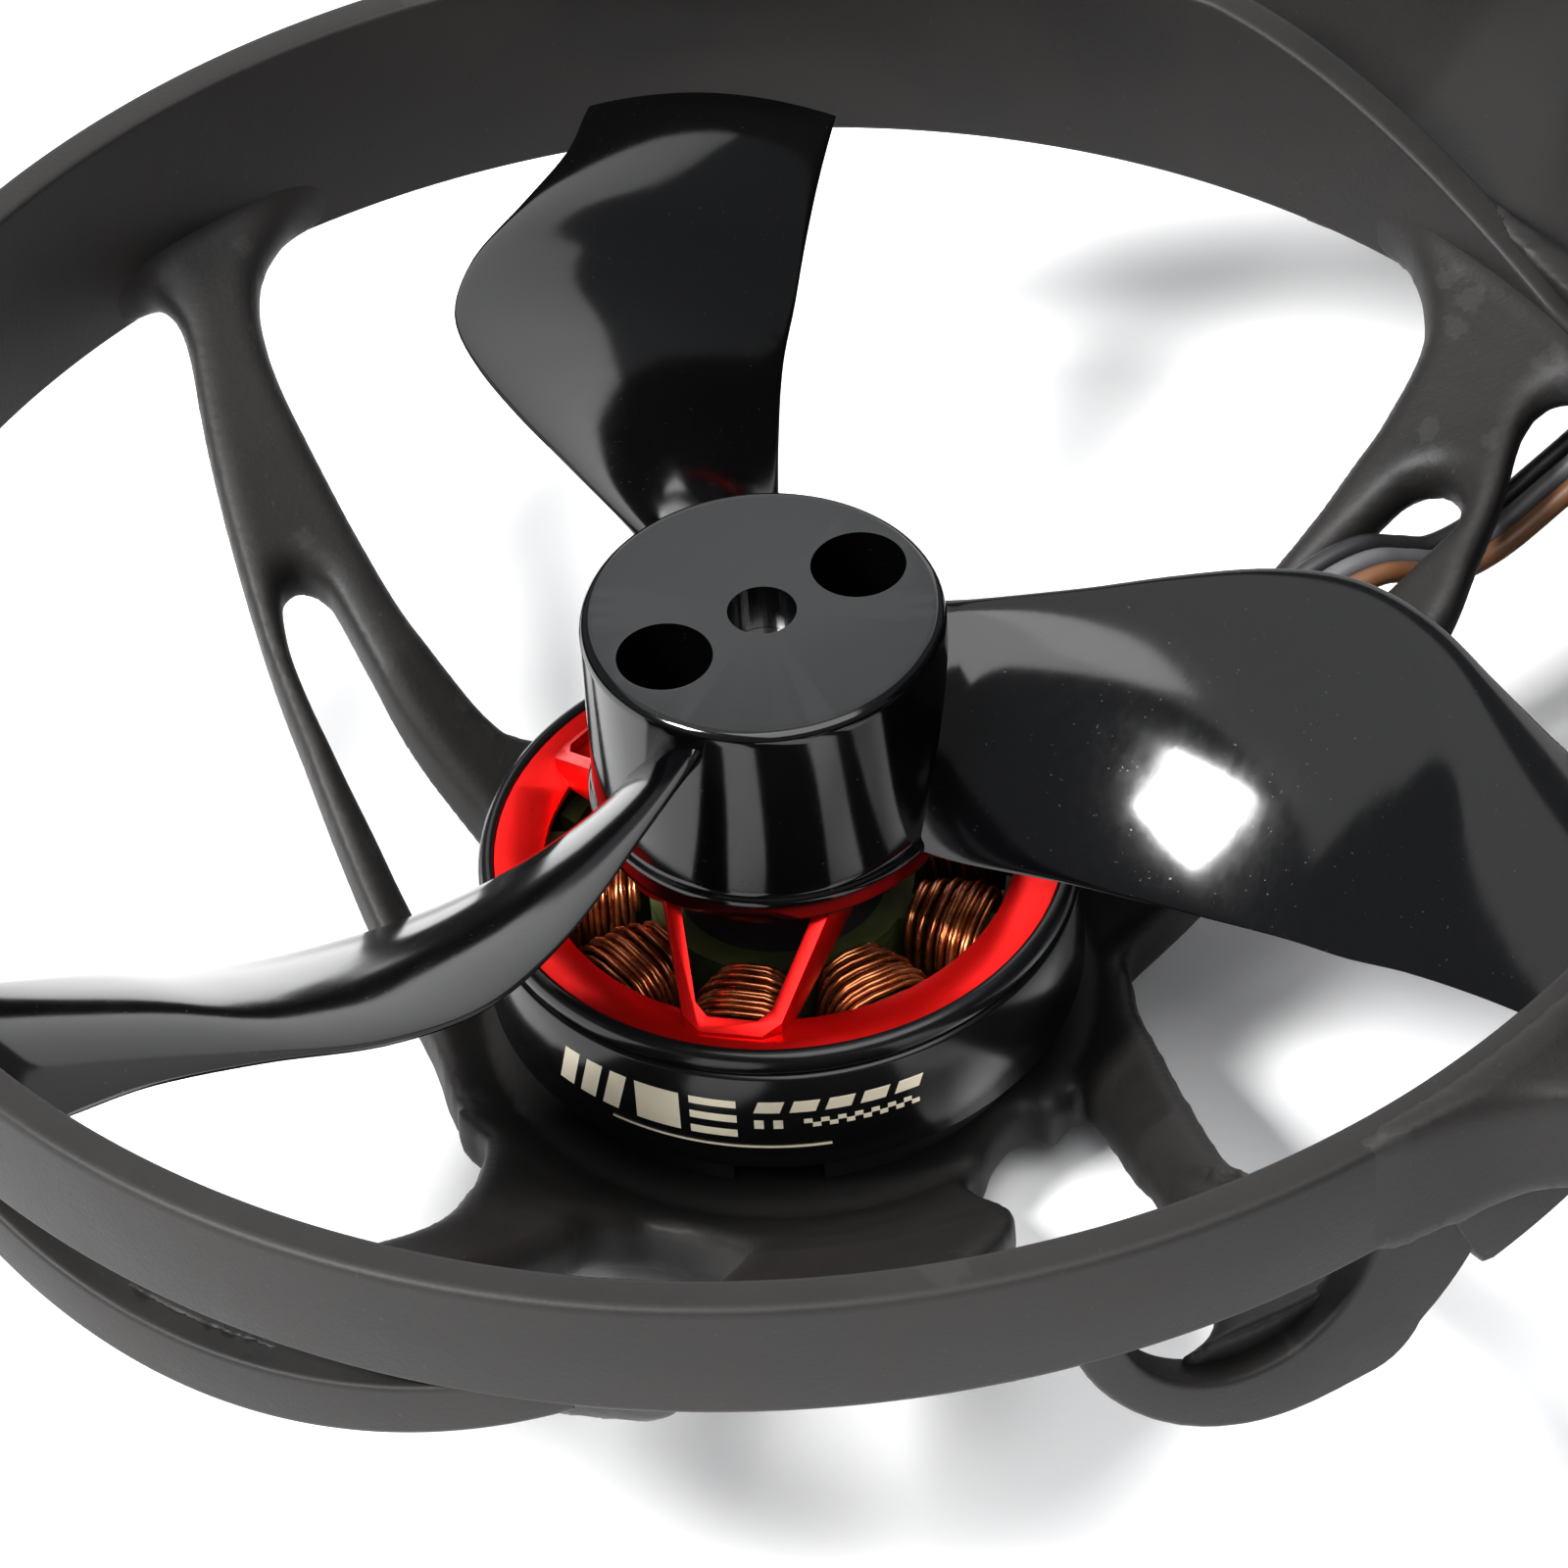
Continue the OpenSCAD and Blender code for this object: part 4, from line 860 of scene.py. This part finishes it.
def marks():
    """Plain printed shapes on the bell, as thin skins of (from angle, to angle, low, high, lean)."""
    rows = [(-140, -136.4, 4.72, 5.84, 2.4), (-134.6, -131, 4.72, 5.84, 2.4),
            (-129.2, -125.6, 4.72, 5.84, 2.4), (-121.5, -112.5, 4.72, 5.84, 0),
            (-110.5, -101.5, 5.62, 5.84, 0), (-110.5, -101.5, 5.17, 5.39, 0),
            (-110.5, -101.5, 4.72, 4.94, 0), (-127, -84, 4.4, 4.46, 0)]
    for k in range(5):
        a = -98.3 + k * 6.7
        rows.append((a, a + 4.9, 5.5, 5.84, 1))
    for k in range(7):
        a = -89 + k * 3.2
        rows += [(a, a + 1.6, 5.14, 5.27, 0), (a + 1.6, a + 3.2, 5.01, 5.14, 0)]
    rows += [(-98.3, -96.5, 5.01, 5.27, 0), (-94.7, -92.9, 5.01, 5.27, 0)]
    inner, outer = 6.745, 6.757
    parts = []
    for a0, a1, z0, z1, lean in rows:
        loops = []
        for t in np.linspace(0, 1, max(2, int((a1 - a0) / 1.2) + 1)):
            at = a0 + (a1 - a0) * t
            lo, hi = math.radians(at), math.radians(at + lean)
            corners = ((inner, lo, z0), (outer, lo, z0), (outer, hi, z1), (inner, hi, z1))
            loops.append([(rad * math.cos(q), rad * math.sin(q), z) for rad, q, z in corners])
        v, f = loft(loops)
        parts.append((v, [tuple(reversed(q)) for q in f]))
    verts, faces, _ = joined(*parts)
    corner_pieces("bell_print", turned(verts), faces, [print_gold], "rotor", "bell_black", sharp=30)


def coil(layers=((13, 0.0), (11, 0.13)), steps=22):
    """One wound tooth along +X: fine wire in two slightly uneven layers round the tooth."""
    mid = (STACK_LOW + STACK_HIGH) / 2
    parts = []
    for count, rise in layers:
        path = []
        total = count * steps
        for i in range(total + 1):
            a = math.tau * i / steps
            s = i / total
            loose = math.sin(2.3 * (i // steps) + 1 + 9 * rise)
            fat = 0.1 * math.sin(math.pi * s)
            out = 3.2 + 0.1 * rise + (1.74 - rise) * s + 0.05 * math.sin(a * 0.5) * (1 + 4 * rise)
            wide = 0.72 + 0.48 * s + 0.04 * loose + rise + fat
            tall = 1.26 + 0.04 * loose + rise + fat
            c, q = math.cos(a + 0.5), math.sin(a + 0.5)
            y = wide * math.copysign(abs(c) ** 0.62, c)
            z = tall * math.copysign(abs(q) ** 0.75, q)
            path.append((out, y, mid + z))
        parts.append(tube(path, 0.073, 6))
    return joined(*parts)[:2]


def windings():
    coil_verts, coil_faces = coil()
    parts = [(turned(coil_verts, math.radians(-104 + 40 * k)), coil_faces) for k in range(9)]
    verts, faces, _ = joined(*parts)
    corner_pieces("coil_wire", turned(verts), faces, [copper], "frame", "copper_wire", "windings", sharp=None)


def leads():
    """Three motor leads side by side, from the stator through the arm's slot and up through the deck."""
    lead_r, pitch = 0.25, 0.55
    # (distance from the motor axis, height)
    run = [(4.6, 2.9), (6.2, 2.9), (7.4, 3.35), (9.4, 5.1), (11.4, 6.8), (13, 7.75), (14.2, 8.35),
           (15.4, 8.45), (16.4, 8), (17.3, 7.6), (18.6, 7.8), (20.4, 8.7), (22.4, 9.7), (24.4, 10.05),
           (26.8, 10.05), (27.8, 10.2), (28.3, 10.7), (28.4, 11.5), (28.4, 12.8)]
    a = TURN + math.radians(25)
    parts = []
    for k in (-pitch, 0, pitch):
        path = [(p * math.cos(a) - k * math.sin(a), p * math.sin(a) + k * math.cos(a), z) for p, z in run]
        parts.append(tube(spline(path, 110), lead_r, 14))
    verts, faces, index = joined(*parts)
    corner_pieces("lead_wires", verts, faces, lead_skins, "frame", "lead_sheath", "motor_leads",
                  index=index, sharp=40)


bells()
marks()
windings()
leads()
for c in CORNERS:
    bevelled_copy("bell_cap_" + c, "bell_cap_red_" + c, [bell_red], "rotor_" + c, "bell_red", 0.05, 2)
    bevelled_copy("motor_base_" + c, "motor_base_black_" + c, [base_black], "frame", "base_black", 0.08, 2)
    for kind, mat in (("bearings", bearing_steel), ("stator_core", stator_paint),
                      ("magnets", magnet_plate), ("shaft", steel)):
        painted(f"{kind}_{c}", mat)


# ---------- centre ----------

def deck():
    """Centre deck and the four webs between the ducts, filleted where they meet the duct walls."""
    step = 0.2
    lo, hi = box_mm("centre_deck")
    xs = np.arange(lo[0] - 2, hi[0] + 2, step)
    zs = np.arange(lo[2] - 1.2, RIM + 1, step)
    x, y = np.meshgrid(xs, xs, indexing="ij")
    half = axis_mm("front_left")[0]
    near = np.hypot(np.abs(x) - half, np.abs(y) - half)
    u, v = np.minimum(np.abs(x), np.abs(y)), np.maximum(np.abs(x), np.abs(y))
    z = zs[None, None, :]
    notch = 8.18 - np.hypot(u, v - half - 13.9)
    span = smooth_max(np.maximum(u - 8, v - 36), notch, 0.5)
    roof = np.interp(v, [14, 22, 28.5, 36], [DECK_TOP, DECK_TOP, RIM - 0.15, RIM - 0.15])
    base = np.interp(v, [14, 24, 28, 36], [DEEP, DEEP, BAND - 0.1, BAND - 0.1])
    web = smooth_max(span[:, :, None], np.maximum(z - roof[:, :, None], base[:, :, None] - z), 0.5)
    plate = smooth_max((v - 23.5)[:, :, None], np.maximum(z - DECK_TOP, DEEP - z), 0.4)
    body = smooth_min(web, plate, 1.5)
    # duct walls that it grows out of
    deg = np.degrees(np.arctan2(half - np.abs(y), half - np.abs(x)))
    head, foot = wall_top(deg), wall_bottom(deg)
    wall = np.maximum(np.maximum(DUCT_IN + 0.2 - near, near - DUCT_OUT + 0.12)[:, :, None],
                      np.maximum(foot[:, :, None] + 0.12 - z, z - head[:, :, None] + 0.12))
    body = smooth_min(body, wall, 1.2)
    body = np.maximum(body, (DUCT_IN + 0.45 - near)[:, :, None])
    hole = smooth_max(np.abs(x + y) / math.sqrt(2) - 10.5, np.abs(x - y) / math.sqrt(2) - 10.5, 2.2)
    bolt = np.hypot(u, v - 17) - 0.72
    body = smooth_max(body, -np.minimum(hole, bolt)[:, :, None], 0.35)
    verts, quads = surface_nets(body.astype(np.float32), np.array([xs[0], xs[0], zs[0]]), step)
    obj = new_object("deck_moulding", verts * MM, quads.tolist(), [nylon], sharp=None)
    settle(obj, "frame", "nylon", "centre_deck")


deck()
bevelled_copy("battery_tray", "tray_moulding", [nylon], "frame", "nylon", 0.18, 2)
bevelled_copy("canopy", "canopy_shell", [nylon_canopy], "frame", "canopy_plastic", 0.22, 3, angle=20)
bevelled_copy("camera_body", "camera_case", [camera_shell], "camera", "camera_plastic", 0.2, 3)
bevelled_copy("flight_controller", "circuit_board", [mask], "frame", "board_mask", 0.05, 1)
bevelled_copy("board_parts", "board_chips", [chip], "frame", "chip_epoxy", 0.06, 2)
bevelled_copy("usb_port", "usb_shell", [tin], "frame", "port_steel", 0.06, 2)
bevelled_copy("grommets", "board_grommets", [grommet_rubber], "frame", "grommet_rubber", 0.12, 3)
bevelled_copy("boot_button", "button_cap", [button_white], "button", "button_plastic", 0.08, 2)
for node, mat in (("battery", wrap), ("canopy_screws", screw_black), ("camera_lens", glass),
                  ("antenna", antenna_skin), ("motor_screws", screw_black)):
    painted(node, mat)


# ---------- floor and light ----------

far = 1.5
floor_mesh = bpy.data.meshes.new("floor")
floor_mesh.from_pydata([(-far, -far, 0), (far, -far, 0), (far, far, 0), (-far, far, 0)], [], [(0, 1, 2, 3)])
floor = bpy.data.objects.new("floor", floor_mesh)
bpy.context.scene.collection.objects.link(floor)
paper = Nodes("floor_paper", (0.93, 0.93, 0.93), 0.75)
paper.set("Base Color", paper.mix(paper.noise(40, 2), (0.92, 0.92, 0.925), (0.94, 0.94, 0.94)))
floor_mesh.materials.append(paper.mat)


def soft_light(name, bearing, height, reach, size, power):
    """Softbox at a bearing and height in degrees round the model, facing its middle."""
    data = bpy.data.lights.new(name, "AREA")
    data.shape = "RECTANGLE"
    data.size, data.size_y = size
    data.energy = power
    lamp = bpy.data.objects.new(name, data)
    b, h = math.radians(bearing), math.radians(height)
    away = Vector((math.cos(b) * math.cos(h), math.sin(b) * math.cos(h), math.sin(h)))
    lamp.location = Vector((ax * MM, ay * MM, RIM * MM)) + away * reach
    lamp.rotation_mode = "QUATERNION"
    lamp.rotation_quaternion = away.to_track_quat("Z", "Y")
    bpy.context.scene.collection.objects.link(lamp)


soft_light("key", -119, 47, 0.55, (0.12, 0.15), 5.2)
soft_light("fill", -30, 64, 0.60, (0.50, 0.50), 3.0)
soft_light("top", 175, 74, 0.60, (0.55, 0.55), 0.9)
soft_light("backdrop", 115, 26, 0.70, (0.65, 0.57), 1.7)
world = bpy.data.worlds.new("studio")
bpy.context.scene.world = world
world.use_nodes = True
background = world.node_tree.nodes["Background"]
background.inputs["Color"].default_value = (0.95, 0.97, 1.0, 1)
background.inputs["Strength"].default_value = 0.32
bpy.context.scene.view_settings.view_transform = "Standard"
bpy.context.scene.view_settings.look = "Medium High Contrast"
